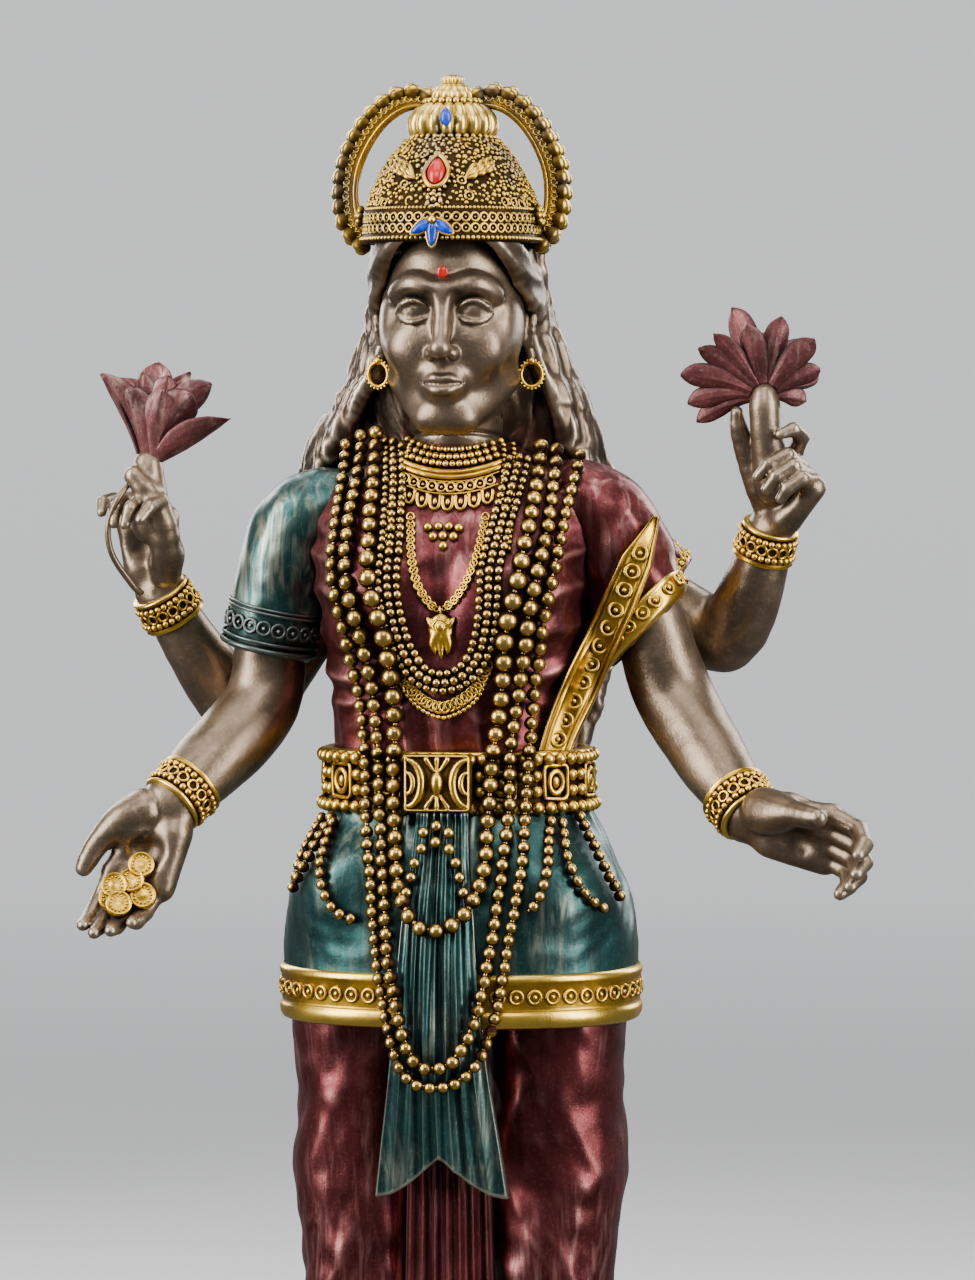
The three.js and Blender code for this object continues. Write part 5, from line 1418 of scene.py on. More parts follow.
def hip_swags():
    for side, runs in (("right",
                        [[(-15.6, 159.6), (-18.4, 154), (-20.6, 149.8)],
                         [(-17.2, 159.4), (-19.4, 154.4), (-20.2, 150.4)],
                                  [(-15.2, 158.8), (-16.4, 153.2), (-15.2, 148.6), (-13.0, 146.6),
                                   (-10.8, 146.2)]]),
                       ("left", [[(15.0, 159.4), (15.4, 153.4), (14.4, 149.2), (12.6, 147.2)],
                                 [(16.6, 159.0), (18.2, 153.6), (20.6, 149.4), (22.8, 147.4)],
                                 [(18.4, 160.0), (21.2, 155.2), (23.6, 150.4), (24.4, 148.6)]])):
        pile = Pile()
        for k, points in enumerate(runs):
            line = laid(points, BODY, 0.8, 0.8, 90, 4)
            long_beads = side == "left" and k == 1
            beads_along(pile, line, 0.72 if long_beads else 0.84, BODY, 1.0, None, 30 + k,
                        1.35 if long_beads else 1.0)
            put_tube(pile, line[::3], 0.22, sides=6)
        pile.build(f"{side}_hip_swag_beads", BRASS, "gold", (f"{side}_hip_swag",))
    pile = Pile()
    points = [(0.1, 159.3), (-1.7, 158.4), (1.9, 158.4), (0.1, 157.1), (-1.9, 156.2), (2.1, 156.2),
              (-2.8, 154.2), (3.0, 154.3), (-3.3, 152.2), (3.6, 152.3), (-3.9, 150.1), (4.2, 150.2)]
    for x, z in points:
        y = BODY.front(x, z, 0.8)[0]
        put_ball(pile, arr(x, y - 0.55, z), 0.82, (0, -1, 0))
    pile.build("buckle_tassel_beads", BRASS, "gold")


small_jewellery()
choker()
hip_swags()


# ---------------------------------------------------------------- borders and bracelets
def cuff_rings(pile, centre, axis, radius, half, beads=26, ring_rows=(0.0,), bead_rows=(-1, 1), flare=0.0,
               squash=1.0, ref=(0, 0, 1)):
    """An ornate band round an axis: rolled rims, bead rows and a row of small rings."""
    axis = unit(arr(*axis))
    u = unit(np.cross(axis, arr(*ref) if abs(axis[2]) < 0.9 else arr(0, 1, 0)))
    w = np.cross(axis, u)
    a = turns(72)

    def circle(h, r):
        r = r + flare * h
        return centre + axis * h + np.cos(a)[:, None] * u * r + np.sin(a)[:, None] * w * r * squash

    profile = [(-half, radius - 1.1), (-half, radius + 0.15), (-half * 0.9, radius + 0.35),
               (-half * 0.72, radius), (half * 0.72, radius),
               (half * 0.9, radius + 0.35), (half, radius + 0.15), (half, radius - 1.1)]
    grid = np.array([circle(h, r) for h, r in profile])
    f = grid_quads(*grid.shape[:2], True)
    v = grid.reshape(-1, 3)
    pile.add_solid(v, f, 3, 1.0, 0.05)
    for rows, kind in ((bead_rows, "bead"), (ring_rows, "ring")):
        for row in rows:
            count = beads if kind == "bead" else int(beads * 0.62)
            for b in turns(count):
                n = unit(math.cos(b) * u + math.sin(b) * w * squash)
                h = row * half * 0.5
                r = radius + flare * h
                p = centre + axis * h + math.cos(b) * u * r + math.sin(b) * w * r * squash
                if kind == "bead":
                    put_ball(pile, p + n * 0.1, 0.52, n)
                else:
                    put_ring(pile, p + n * 0.1, 0.72, n, 1.2)


ARM_ENDS = {
    "right_front": ((-35.6, -6.7, 165.4), (-38.9, -10.0, 161.7), 4.6),
    "left_front": ((39.4, -6.9, 165.0), (43.0, -10.4, 160.9), 4.5),
    "right_rear": ((-40.6, 6.4, 185.3), (-43.4, 4.0, 190.8), 4.2),
    "left_rear": ((43.1, 6.1, 195.4), (44.6, 4.4, 200.3), 3.95),
}


def bracelets():
    for name, (back, wrist, radius) in ARM_ENDS.items():
        back, wrist = arr(*back), arr(*wrist)
        axis = unit(wrist - back)
        pile = Pile()
        cuff_rings(pile, wrist - axis * 1.9, axis, radius, 2.5, 27, (0.0,), (-0.95, 0.95), -0.06)
        pile.build(f"{name}_bracelet_cast", GOLD, "gold", (f"{name}_bracelet",))


def fill_gaps(grid, times):
    """Unknown places take the mean of their known neighbours, again and again."""
    for _ in range(times):
        around = [np.roll(grid, step, axis) for axis in (1, 0) for step in (1, -1)]
        grid = np.where(np.isnan(grid), np.nanmean(around, 0), grid)
    return grid


def sleeve_borders():
    pile = Pile()
    axis = unit(arr(-27, 1.5, 184.6) - arr(-25.4, 1.0, 192.0))
    centre = arr(-26.6, 1.4, 186.4)
    side = unit(np.cross(axis, arr(0, 1, 0)))
    w = np.cross(axis, side)
    a = turns(64)
    for h, r, t in ((-2.9, 6.75, 0.2), (-2.3, 6.8, 0.24), (1.9, 6.8, 0.26), (3.0, 6.75, 0.42)):
        line = centre + axis * h + np.cos(a)[:, None] * side * r + np.sin(a)[:, None] * w * r
        put_tube(pile, line, t, axis, 6, closed=True)
    for b in turns(20):
        n = math.cos(b) * side + math.sin(b) * w
        put_boss(pile, centre - axis * 0.2 + n * 6.75, 0.95, 0.35, n, 0.9)
    pile.build("right_sleeve_border_relief", SLATE, "teal", ("right_sleeve_border",))

    pile = Pile()
    sleeve_hem(pile)
    cuff_rings(pile, arr(28.0, 11.1, 192.7), (0.82, 0.12, -0.56), 5.55, 1.7, 34, (0.0,), (-1.2, 1.2), -0.05)
    pile.build("left_drape_hem_band", GOLD, "gold", ("left_sleeve_border",))


def sleeve_hem(pile):
    """The gold band along the oblique lower edge of the draped sleeve, widest at the outer side."""
    v = FORMS["left_drape_cloth"][0]
    down = unit(arr(0.707, 0, -0.707))
    middle = arr(26.0, 1.2, 187.6)
    side = unit(np.cross(down, arr(0, 1, 0)))
    near = np.abs(v[:, 1] - 1.2) < 9
    p = v[near & (v[:, 2] < 200) & (v[:, 0] > 17)] - middle
    h, turn, reach = p @ down, np.arctan2(p @ side, p[:, 1]), np.hypot(p @ side, p[:, 1])
    a = np.linspace(-math.pi, math.pi, 96, endpoint=False)
    rows = []
    edge = float(np.quantile(h, 0.995))
    levels = np.linspace(edge - 3.9, edge - 0.1, 12)
    for level in levels:
        r = []
        for b in a:
            gap = np.abs((turn - b + math.pi) % (2 * math.pi) - math.pi)
            ok = (gap < 0.12) & (np.abs(h - level) < 0.9)
            r.append(np.quantile(reach[ok], 0.8) if ok.sum() > 3 else np.nan)
        rows.append(r)
    rows = np.minimum(fill_gaps(np.array(rows), 12), 8.6)
    wide = soften(np.tile(rows, 3).T, 3).T[:, 96:192]
    rise = np.array([0.1, 0.5, 0.62, 0.35, 0.3, 0.3, 0.3, 0.3, 0.35, 0.62, 0.62, 0.1])

    def wall(reaches):
        return np.array([middle + down * level + (np.sin(a) * reach)[:, None] * side
                         + (np.cos(a) * reach)[:, None] * arr(0, 1, 0)
                         for level, reach in zip(levels, reaches)])

    outer = wall(wide + rise[:, None])
    grid = np.concatenate([outer, wall(wide - 0.7)[::-1]])
    quads = grid_quads(*grid.shape[:2], True)
    verts = grid.reshape(-1, 3)
    pile.add_solid(verts, quads, 3, 1.2)
    for b in range(2, 96, 5):
        p = outer[5, b]
        n = unit(np.sin(a[b]) * side + np.cos(a[b]) * arr(0, 1, 0))
        put_boss(pile, p, 0.9, 0.4, n, 1.1)


def drape_border():
    """The gold edge that runs from the left shoulder across the chest to the belt."""
    pile = Pile()
    run = spline([(29.4, 0, 202.4), (27.6, 0, 198.0), (24.2, 0, 190), (20.0, 0, 181), (16.8, 0, 173.5),
                  (15.3, 0, 168.8)], 130)
    x, z = run[:, 0], run[:, 2]
    along = unit(np.gradient(run, axis=0))
    across = np.stack([along[:, 2], 0 * x, -along[:, 0]], 1) * -1
    half = np.interp(z, (168, 176, 190, 196, 202.4), (2.0, 2.3, 2.5, 2.2, 0.3))
    shares = np.linspace(-1, 1, 27)
    surface = Relief(["torso_blouse", "left_drape_cloth"], (-32, 100), (40, 216))
    px = x[:, None] + across[:, 0:1] * half[:, None] * shares
    pz = z[:, None] + across[:, 2:3] * half[:, None] * shares
    y = surface.front(px.ravel(), pz.ravel(), 0.9).reshape(px.shape)
    y = fill_gaps(np.where(y > 20, np.nan, y), 30)
    for _ in range(3):
        y = soften(np.minimum(y, soften(y, 9)), 5)
        y = soften(np.minimum(y.T, soften(y.T, 2)), 2).T
    rim = np.interp(np.abs(shares), (0, 0.50, 0.58, 0.66, 0.74, 0.82, 0.92, 1.0),
                    (0.5, 0.5, 0.85, 0.5, 0.5, 1.0, 1.0, 0.5))
    front = np.stack([px, y - 0.35 - rim[None], pz], -1)
    back = np.stack([px, y + 0.7, pz], -1)
    v, f = grid_solid(front, back)
    pile.add_solid(v, f, 3, 1.2, 0.04)
    s = np.concatenate([[0], np.cumsum(np.linalg.norm(np.diff(run, axis=0), axis=1))])
    for at in np.arange(5.6, s[-1] - 0.8, 2.85):
        k = int(np.searchsorted(s, at))
        p = front[k, 13] - arr(0, 0.15, 0)
        put_boss(pile, p, 1.0, 0.42, (0.25, -1, 0.15), 1.1)
    pile.build("drape_border_gold", GOLD, "gold", ("drape_border",))


bracelets()
sleeve_borders()
drape_border()


# ---------------------------------------------------------------- hair
MANE = [(151, 7, 2.2, 20.5, 0), (158, 13, 2.8, 19.8, 0), (168, 16.4, 3.4, 18.0, 0), (182, 18.6, 4.0, 16.8, 0),
        (196, 20.4, 4.4, 15.0, 0), (207, 20.2, 5.0, 11.8, 0), (215, 16.6, 6.4, 9.4, 0),
        (224, 14.0, 7.8, 7.8, 0), (233, 12.0, 8.8, 6.4, 0), (241, 11.0, 9.6, 5.0, 0)]


def hair():
    c = Clay((-26, -14, 149), (26, 25, 246), 0.42)
    c.put(sections(MANE, 2.2, -0.5, low=170), 0)
    r = np.random.default_rng(11)

    def strand(points, count):
        stem(c, points, count, 0.25)

    zs = np.array([243, 236, 228, 219, 210, 200, 190, 179, 168, 158, 151.5])
    for row in range(2):
        n = (40, 27)[row]
        for k in range(n):
            u = -0.99 + 1.98 * (k + 0.5 * row) / (n - 1 + 0.5 * row)
            end = zs[-1] + 14 * abs(u) ** 1.6 + r.uniform(0, 5)
            phase, lift = r.uniform(0, 6.28), r.uniform(-0.3, 0.5)
            pts = []
            for z in zs:
                z = max(z, end)
                hw, hd, y0, _ = (float(q) for q in column_at(MANE, z))
                swing = smoothstep(236, 224, z)
                wave = 0.85 * math.sin(z * 0.30 + phase * 0.4 + 2.6 * u) * swing
                x = u * hw + wave
                y = (y0 + hd * math.sqrt(max(1 - min(abs(u), 1) ** 2.4, 0)) * 0.96
                     + 0.35 * math.cos(z * 0.3 + phase) * swing + lift)
                taper = float(np.interp(z, (151, 160, 215, 243), (0.55, 1.0, 1.0, 0.75)))
                radius = (1.25 if row == 0 else 0.8) * taper
                pts.append((x, y, z, radius))
                if z <= end:
                    break
            pts[-1] = (*pts[-1][:3], 0.3)
            strand(pts, 22)
    # locks that frame the neck and spread on to the shoulders
    for s in (-1, 1):
        for k in range(13):
            t = k / 12
            phase = r.uniform(0, 6.28)
            top = (s * (10.3 + 0.9 * t), -1.6 + 6.5 * t, 238.5 - 1.5 * t)
            pts = [(*top, 0.7)]
            reach = (12.4, 14.0, 16.8, 20.2, 22.8, 24.4) if s < 0 else (12.1, 14.6, 16.9, 18.9, 20.4, 22.0)
            for z, out, y in zip((232, 225.5, 219.5, 214.5, 210.6, 206.8), reach,
                                 (2.4, 3.0, 4.0, 5.0, 6.0, 7.6)):
                swing = 0.75 * math.sin(z * 0.55 + phase * 0.5)
                x = s * (out - 3.4 + 3.4 * t + swing * 0.8)
                pts.append((x, y - 1.6 + 4.6 * t + 0.5 * math.cos(z * 0.5 + phase), z - 0.8 * t, 1.1))
            pts[-1] = (*pts[-1][:3], 0.45)
            strand(pts, 22)
        # swept from the parting over the temple to behind the ear
        for k in range(7):
            t = k / 6
            strand([(s * (2.2 + 3.4 * t), -13.0 + 0.8 * t, 243.6, 0.7),
                    (s * (6.6 + 1.5 * t), -11.0 + 1.6 * t, 241.6 - 0.2 * t, 0.95),
                    (s * (8.9 + 1.2 * t), -7.9 + 1.8 * t, 238.4 + 0.9 * t, 1.05),
                    (s * (10.4 + 0.7 * t), -3.8 + 2.0 * t, 234.6 + 1.9 * t, 1.0),
                    (s * (11.6 + 0.3 * t), 1.8 + 1.8 * t, 230.6 + 3.0 * t, 0.95)], 14)
    v, f = c.mesh(1)
    x, y, z = v.T
    hang = smoothstep(236, 226, z)
    flow = 1.3 * np.sin(z * 0.30 + 0.20 * x) + 0.9 * wobble(v * (1, 1, 0.45), 7, 71)
    behind = crease((x + flow * 0.8) * 2.1, 1.2) * smoothstep(3.0, 7.0, y)
    sides = crease((y * 1.35 + np.abs(x) * 0.7 + flow) * 1.75, 1.2) * (1 - smoothstep(3.0, 7.0, y))
    crown_side = crease((z * 1.1 + np.abs(x) * 0.9 + 0.6 * wobble(v, 8, 72)) * 1.6, 1.2)
    fine = crease((x - y * 0.6 + flow * 1.2) * 4.4, 1.0)
    return pushed(v, f, hang * (0.40 * behind + 0.36 * sides + 0.12 * fine)
                  + (1 - hang) * 0.26 * crown_side), f


save("hair_strands", hair(), HAIR, ("hair",), 7, 1.0)


# ---------------------------------------------------------------- crown
CROWN = [(241, 12.4, 15.2, 0.6, -0.4), (245.5, 12, 14.8, 0.7, -0.4), (249.5, 10.6, 13, 0.8, -0.4),
         (253, 8.6, 10.4, 0.9, -0.4), (255.6, 6.5, 7.2, 1, -0.4)]
CROWN_TOP = CROWN[-1][0]
CROWN_POWER = 2.2  # roundness of the crown's level sections
CROWN_X = -0.4  # middle of the crown
CROWN_FRONT = -0.03  # angle of the gems on its front
RED_GEM_Z = 250.4
DOME_LOW, DOME_HEIGHT = 246.15, 9.35  # the part of the cap that is chased with grains
GRAIN_TRIES = 11000


def crown_at(a, z, out=0.0):
    p, n = ring_point(CROWN, arr(a), arr(min(z, CROWN_TOP)), 0.0, CROWN_POWER)
    up, _ = ring_point(CROWN, arr(a), arr(min(z + 0.4, CROWN_TOP)), 0.0, CROWN_POWER)
    down, _ = ring_point(CROWN, arr(a), arr(min(z, CROWN_TOP) - 0.4), 0.0, CROWN_POWER)
    slope = unit(up[0] - down[0])
    n = unit(n[0] - slope * (n[0] @ slope))
    return p[0] + n * out, n


def crown_cap():
    pile = Pile()
    rows = [(240.9, -0.8), (240.8, 0.2), (241.3, 0.45), (241.8, 0.3), (242.2, 0.1), (245.0, 0.1),
            (245.3, 0.2), (245.7, 0.2), (246.0, 0.0)]
    rows += [(z, 0.0) for z in np.linspace(246.6, 255.4, 16)] + [(255.7, -0.4), (255.7, -5.5)]
    grid = []
    for z, out in rows:
        angles = even_angles(CROWN, min(z, 255.5), 0, 180, CROWN_POWER)
        p, n = ring_point(CROWN, angles, np.full(180, float(min(z, CROWN_TOP))), 0, CROWN_POWER)
        p = p + n * out
        p[:, 2] = z
        grid.append(p)
    v, f, lids = capped(np.array(grid))
    # the cap's own surface is set dark, so it shows dark between the grains
    pile.add(v, f, lids, np.full(len(v), 0.19))
    for z in (242.75, 244.25):
        for a in even_angles(CROWN, z, 0.3, 66, CROWN_POWER):
            p, n = crown_at(a, z, 0.15)
            put_boss(pile, p, 0.60, 0.16, n, 1.3)
    for z, out, size, count in ((241.35, 0.40, 0.34, 124), (245.55, 0.15, 0.27, 150)):
        for a in even_angles(CROWN, z, 0.5, count, CROWN_POWER):
            p, n = crown_at(a, z, out)
            put_ball(pile, p, size, n)
    # dome: rings, scrolls and grains packed close together
    r = np.random.default_rng(17)
    taken, made = np.zeros((GRAIN_TRIES, 4)), 0
    for _ in range(GRAIN_TRIES):
        z = DOME_LOW + DOME_HEIGHT * r.random()
        a = r.uniform(-math.pi, math.pi)
        size = r.choice([0.26, 0.34, 0.44, 0.60, 0.78], p=[0.36, 0.28, 0.18, 0.11, 0.07])
        p, n = crown_at(a, z, 0.0)
        if p[1] < -4 and abs(p[0] - CROWN_X) < 1.9 and 247.6 < z < 253.2:
            continue
        if p[1] < -4 and 3.4 < abs(p[0] - CROWN_X) < 6.6 and 249.2 < z < 252.0:
            continue
        near = taken[:made, :3] - p
        if made and (((near * near).sum(1)) < (size + taken[:made, 3]) ** 2 * 0.92).any():
            continue
        taken[made] = (*p, size)
        made += 1
        if size > 0.7:
            turn = r.uniform(0, 6.28)
            m = turned_to(n, turn)
            t = np.linspace(0, 4.6, 16)
            reach = 0.18 + 0.14 * t
            line = p + n * 0.1 + (reach * np.cos(t))[:, None] * m[0] + (reach * np.sin(t))[:, None] * m[1]
            put_tube(pile, line, np.linspace(0.24, 0.14, 16), n, 6)
        elif size > 0.5:
            put_ring(pile, p + n * 0.08, size, n, 1.4)
            put_ball(pile, p, 0.2, n)
        else:
            put_ball(pile, p, size * 1.02, n)
    # a pointed leaf on each side of the red gem
    for s in (-1, 1):
        for da, dz in ((0.30, 0), (0.43, 0.5), (0.55, 0.9)):
            root, _ = crown_at(s * da, 249.6 + dz, 0.15)
            tip, _ = crown_at(s * (da + 0.22), 251.3 + dz * 0.7, 0.35)
            for side in (-1, 0, 1):
                mid, nm = crown_at(s * (da + 0.12), 250.5 + dz + side * 0.75, 0.55)
                line = spline([root, mid, tip], 12)
                put_tube(pile, line, 0.12 + 0.26 * np.sin(np.linspace(0.1, 3.0, 12)), nm, 7)
    # rosettes where the bows spring from the band
    for s in (-1, 1):
        p, n = crown_at(s * 1.42, 244.6, 0.9)
        for b in turns(8):
            m = turned_to(n)
            put_ball(pile, p + (m[0] * math.cos(b) + m[1] * math.sin(b)) * 1.05, 0.52, n)
        put_ball(pile, p + n * 0.2, 0.62, n)
    # gold seat of the red gem, with a flower below it
    seat, n = crown_at(CROWN_FRONT, RED_GEM_Z, 0.35)
    m = turned_to(n)
    t = turns(36)
    shape = np.stack([1.75 * np.sin(t) * (1 - 0.35 * np.maximum(np.cos(t), 0)), 2.7 * np.cos(t)], 1)
    line = seat + shape[:, :1] * m[0] + shape[:, 1:] * m[1] + n * 0.2
    put_tube(pile, line, 0.36, n, 7, closed=True)
    for b in range(0, 36, 2):
        put_ball(pile, seat + (shape[b, 0] * 1.28) * m[0] + (shape[b, 1] * 1.2) * m[1] - n * 0.05, 0.3, n)
    p, n = crown_at(CROWN_FRONT, 246.4, 0.4)
    m = turned_to(n)
    for b in turns(7):
        put_ball(pile, p + (m[0] * math.cos(b) + m[1] * math.sin(b)) * 0.95, 0.52, n, (0.7, 1.1, 0.8), -b)
    put_ball(pile, p + n * 0.3, 0.5, n)
    pile.build("crown_cap_chased", OLD_GOLD, "gold", ("crown_cap",))


def crown_top():
    lo, hi = (arr(*v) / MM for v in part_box("crown_bun"))
    cx, cy = (lo[0] + hi[0]) / 2, (lo[1] + hi[1]) / 2
    a = turns(144)

    def flutes(rows, count, depth):
        grid = []
        for z, r in rows:
            lobe = np.abs(np.sin(a * count / 2)) ** 0.7
            rr = r * (1 - depth + depth * lobe)
            grid.append(np.stack([cx + rr * np.cos(a), cy + rr * np.sin(a) * 1.06, np.full_like(a, z)], -1))
        v, f, lids = capped(np.array(grid))
        pile = Pile()
        pile.add(v, f, lids, np.concatenate([hollows(v[:-2], f, 5, 1.0), [0.0, 0.0]]))
        return pile

    rows = [(255.7, 5.4), (255.9, 5.9), (256.4, 6.2), (257.1, 6.45), (257.9, 6.5), (258.7, 6.3),
            (259.4, 5.9), (260.1, 5.3), (260.7, 4.4), (261.1, 3.4)]
    pile = flutes(rows, 18, 0.13)
    for b in turns(34):
        put_ball(pile, arr(cx + 5.9 * math.cos(b), cy + 6.2 * math.sin(b), 255.9), 0.5,
                 (math.cos(b), math.sin(b), 0))
    pile.build("crown_bun_fluted", OLD_GOLD, "gold", ("crown_bun",))
    rows = [(260.9, 2.7), (261.2, 3.1), (261.6, 3.2), (262.2, 3.1), (262.8, 2.8), (263.2, 2.3), (263.5, 1.7),
            (263.8, 1.6), (264.2, 1.75), (264.6, 1.3), (264.8, 0.5)]
    pile = flutes(rows, 12, 0.12)
    for b in turns(24):
        put_ball(pile, arr(cx + 3.9 * math.cos(b), cy + 4.1 * math.sin(b), 261.0), 0.52,
                 (math.cos(b), math.sin(b), 0.3))
    pile.build("crown_finial_fluted", OLD_GOLD, "gold", ("crown_finial",))

    for side, s in (("right", -1), ("left", 1)):
        pile = Pile()
        arc = [(12.4, 2.8, 240.9, 1.2), (14.6, 3.0, 243.6, 1.5), (15.4, 3.2, 247.4, 1.6),
               (15.0, 3.2, 251.6, 1.6), (13.3, 3.0, 255.6, 1.6),
               (10.9, 2.8, 258.8, 1.6), (8.0, 2.6, 260.9, 1.6), (5.0, 2.2, 261.4, 1.4),
               (3.2, 1.6, 260.6, 1.0)]
        line = spline([(s * x * (1.0 if s < 0 else 0.93) + CROWN_X, y, z, r) for x, y, z, r in arc], 90)
        put_tube(pile, line[:, :3], line[:, 3] * 0.98, (0, -1, 0), 14)
        centre = arr(CROWN_X, 3.0, 250.5)
        for k in range(2, 88):
            p, r = line[k, :3], line[k, 3]
            t = unit(line[min(k + 1, 89), :3] - line[k - 1, :3])
            out = unit(np.cross(t, arr(0, 1, 0)))
            out = out if out @ (p - centre) > 0 else -out
            if k % 6 == 2:
                for back in (-0.8, 0.8):
                    put_ball(pile, p + out * r * 0.72 + arr(0, back, 0), 1.38, out, (0.98, 0.98, 0.8),
                             mesh=BALL)
                put_ball(pile, p + out * r * 0.98 - t * 0.35, 1.05, out, (0.9, 0.98, 0.95), mesh=BALL)
            if k % 3 == 0:
                for face in (-1, 1):
                    put_ring(pile, p + arr(0, face * r * 0.98, 0) + out * 0.1, 0.42, (0, face, 0), 1.3)
        for face in (-1, 1):
            for shift, size in ((-0.66, 0.34), (0.62, 0.26)):
                out = line[:, :3] - centre
                out = unit(out - (0, 1, 0) * out[:, 1:2])
                rail = line[:, :3] + out * line[:, 3:] * shift + arr(0, face, 0) * line[:, 3:] * 0.74
                put_tube(pile, rail[::2], size, (0, -1, 0), 7)
        pile.build(f"crown_bow_{side}_cast", OLD_GOLD, "gold", (f"crown_bow_{side}",))


DOT_Z = 236.6  # middle of the dot on the forehead
RED = bpy.data.materials.new("red_enamel")
BLUE = bpy.data.materials.new("blue_enamel")


def enamel(m, deep, light):
    """Thick glossy paint: cloudy in tone, with painted shade from ambient occlusion round its rim, and fine
    specks.
    """
    m.use_nodes = True
    t = m.node_tree
    coords = node(t, "ShaderNodeTexCoord").outputs["Object"]
    cloud = ramp(t, noise(t, coords, 700.0, 4.0), 0.3, 0.7)
    colour = blend_colour(t, cloud, deep, light)
    # painted shade: ambient occlusion darkens the paint where its setting closes in round it
    painted_shade = node(t, "ShaderNodeAmbientOcclusion", {"Distance": 0.8 * MM}, samples=4).outputs["AO"]
    colour = blend_colour(t, ramp(t, maths(t, "SUBTRACT", 1.0, painted_shade), 0.35, 0.9), colour, (0.02, 0.01, 0.01))
    bump = node(t, "ShaderNodeBump",
                {"Height": noise(t, coords, 1500.0, 2.0), "Strength": 0.15, "Distance": 0.2 * MM})
    shader = t.nodes["Principled BSDF"]
    t.links.new(colour, shader.inputs["Base Color"])
    t.links.new(bump.outputs[0], shader.inputs["Normal"])
    t.links.new(maths(t, "ADD", maths(t, "MULTIPLY", cloud, 0.12), 0.16), shader.inputs["Roughness"])


enamel(RED, (0.36, 0.002, 0.003), (0.55, 0.006, 0.006))
enamel(BLUE, (0.003, 0.022, 0.30), (0.008, 0.065, 0.56))


def gems():
    seat, n = crown_at(CROWN_FRONT, RED_GEM_Z, 0.3)
    m = turned_to(n)
    v, q, t = ball_mesh(14, 20)
    taper = 1 - 0.42 * np.clip(v[:, 1], 0, 1) ** 1.2
    shape = np.stack([v[:, 0] * 1.35 * taper, v[:, 1] * 2.25, v[:, 2] * 1.0], 1)
    object_from("crown_red_gem_drop", shape @ m + seat + n * 0.1, [q, t], RED, None,
                ("crown_red_gem",))
    lo, hi = (arr(*v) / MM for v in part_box("crown_bun"))
    centre = arr((lo[0] + hi[0]) / 2, lo[1] + 0.1, 258.6)
    shape = np.stack([v[:, 0] * 0.85 * (1 - 0.3 * np.clip(v[:, 1], 0, 1)), v[:, 1] * 1.35, v[:, 2] * 0.8], 1)
    object_from("crown_blue_gem_drop", shape @ turned_to(arr(0, -1, 0.1)) + centre, [q, t], BLUE,
                None, ("crown_blue_gem",))
    pile = Pile()
    gold = Pile()
    base, n = crown_at(CROWN_FRONT, 243.7, 1.0)
    m = turned_to(n)
    for turn, long in ((-1.0, 1.6), (0.0, 1.85), (1.0, 1.6)):
        d = -m[1] * math.cos(turn) + m[0] * math.sin(turn)
        w = np.cross(n, d)
        vv = v[:, 1:2] * d * long + v[:, 0:1] * w * 0.72 * (1 - 0.25 * v[:, 1:2]) + v[:, 2:3] * n * 0.55
        pile.add(vv + base + d * 1.85, q, t)
        rim = turns(26)
        line = (base + d * 1.85 + np.cos(rim)[:, None] * d * long * 1.08
                + np.sin(rim)[:, None] * w * 0.82 * (1 - 0.25 * np.cos(rim))[:, None] - n * 0.05)
        put_tube(gold, line, 0.17, n, 6, closed=True)
    put_ball(gold, base + n * 0.25, 0.62, n)
    pile.build("crown_blue_petals_drop", BLUE, "blue_enamel", ("crown_blue_petals",))
    gold.build("crown_petal_settings", GOLD, "gold")
    v, q, t = ball_mesh(10, 16)
    near = FORMS["head_casting"][0]
    near = near[(np.abs(near[:, 0]) < 0.7) & (np.abs(near[:, 2] - DOT_Z) < 0.7)]
    object_from("forehead_dot", v * (0.85, 0.32, 0.85) + arr(0, near[:, 1].min() - 0.02, DOT_Z), [q, t], RED,
                None, ("bindi",))
    for side, s in (("right", -1), ("left", 1)):
        pile = Pile()
        lo, hi = (arr(*v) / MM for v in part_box(f"{side}_earring"))
        centre = (lo + hi) / 2 + arr(-s * 0.2, -0.2, 0.1)
        a = turns(40)
        u = unit(arr(1, 0.25 * s, 0))
        line = centre + np.cos(a)[:, None] * u * 1.5 + np.sin(a)[:, None] * arr(0, 0, 1) * 1.75
        put_tube(pile, line, 0.30, (0, -1, 0), 8, closed=True)
        for b in range(0, 40, 2):
            put_ball(pile, line[b] + unit(line[b] - centre) * 0.28, 0.26, (0, -1, 0))
        put_ball(pile, centre + arr(0, 0, 1.9), 0.6, (0, -1, 0))
        pile.build(f"{side}_earring_hoop", GOLD, "gold", (f"{side}_earring",))


crown_cap()
crown_top()
gems()


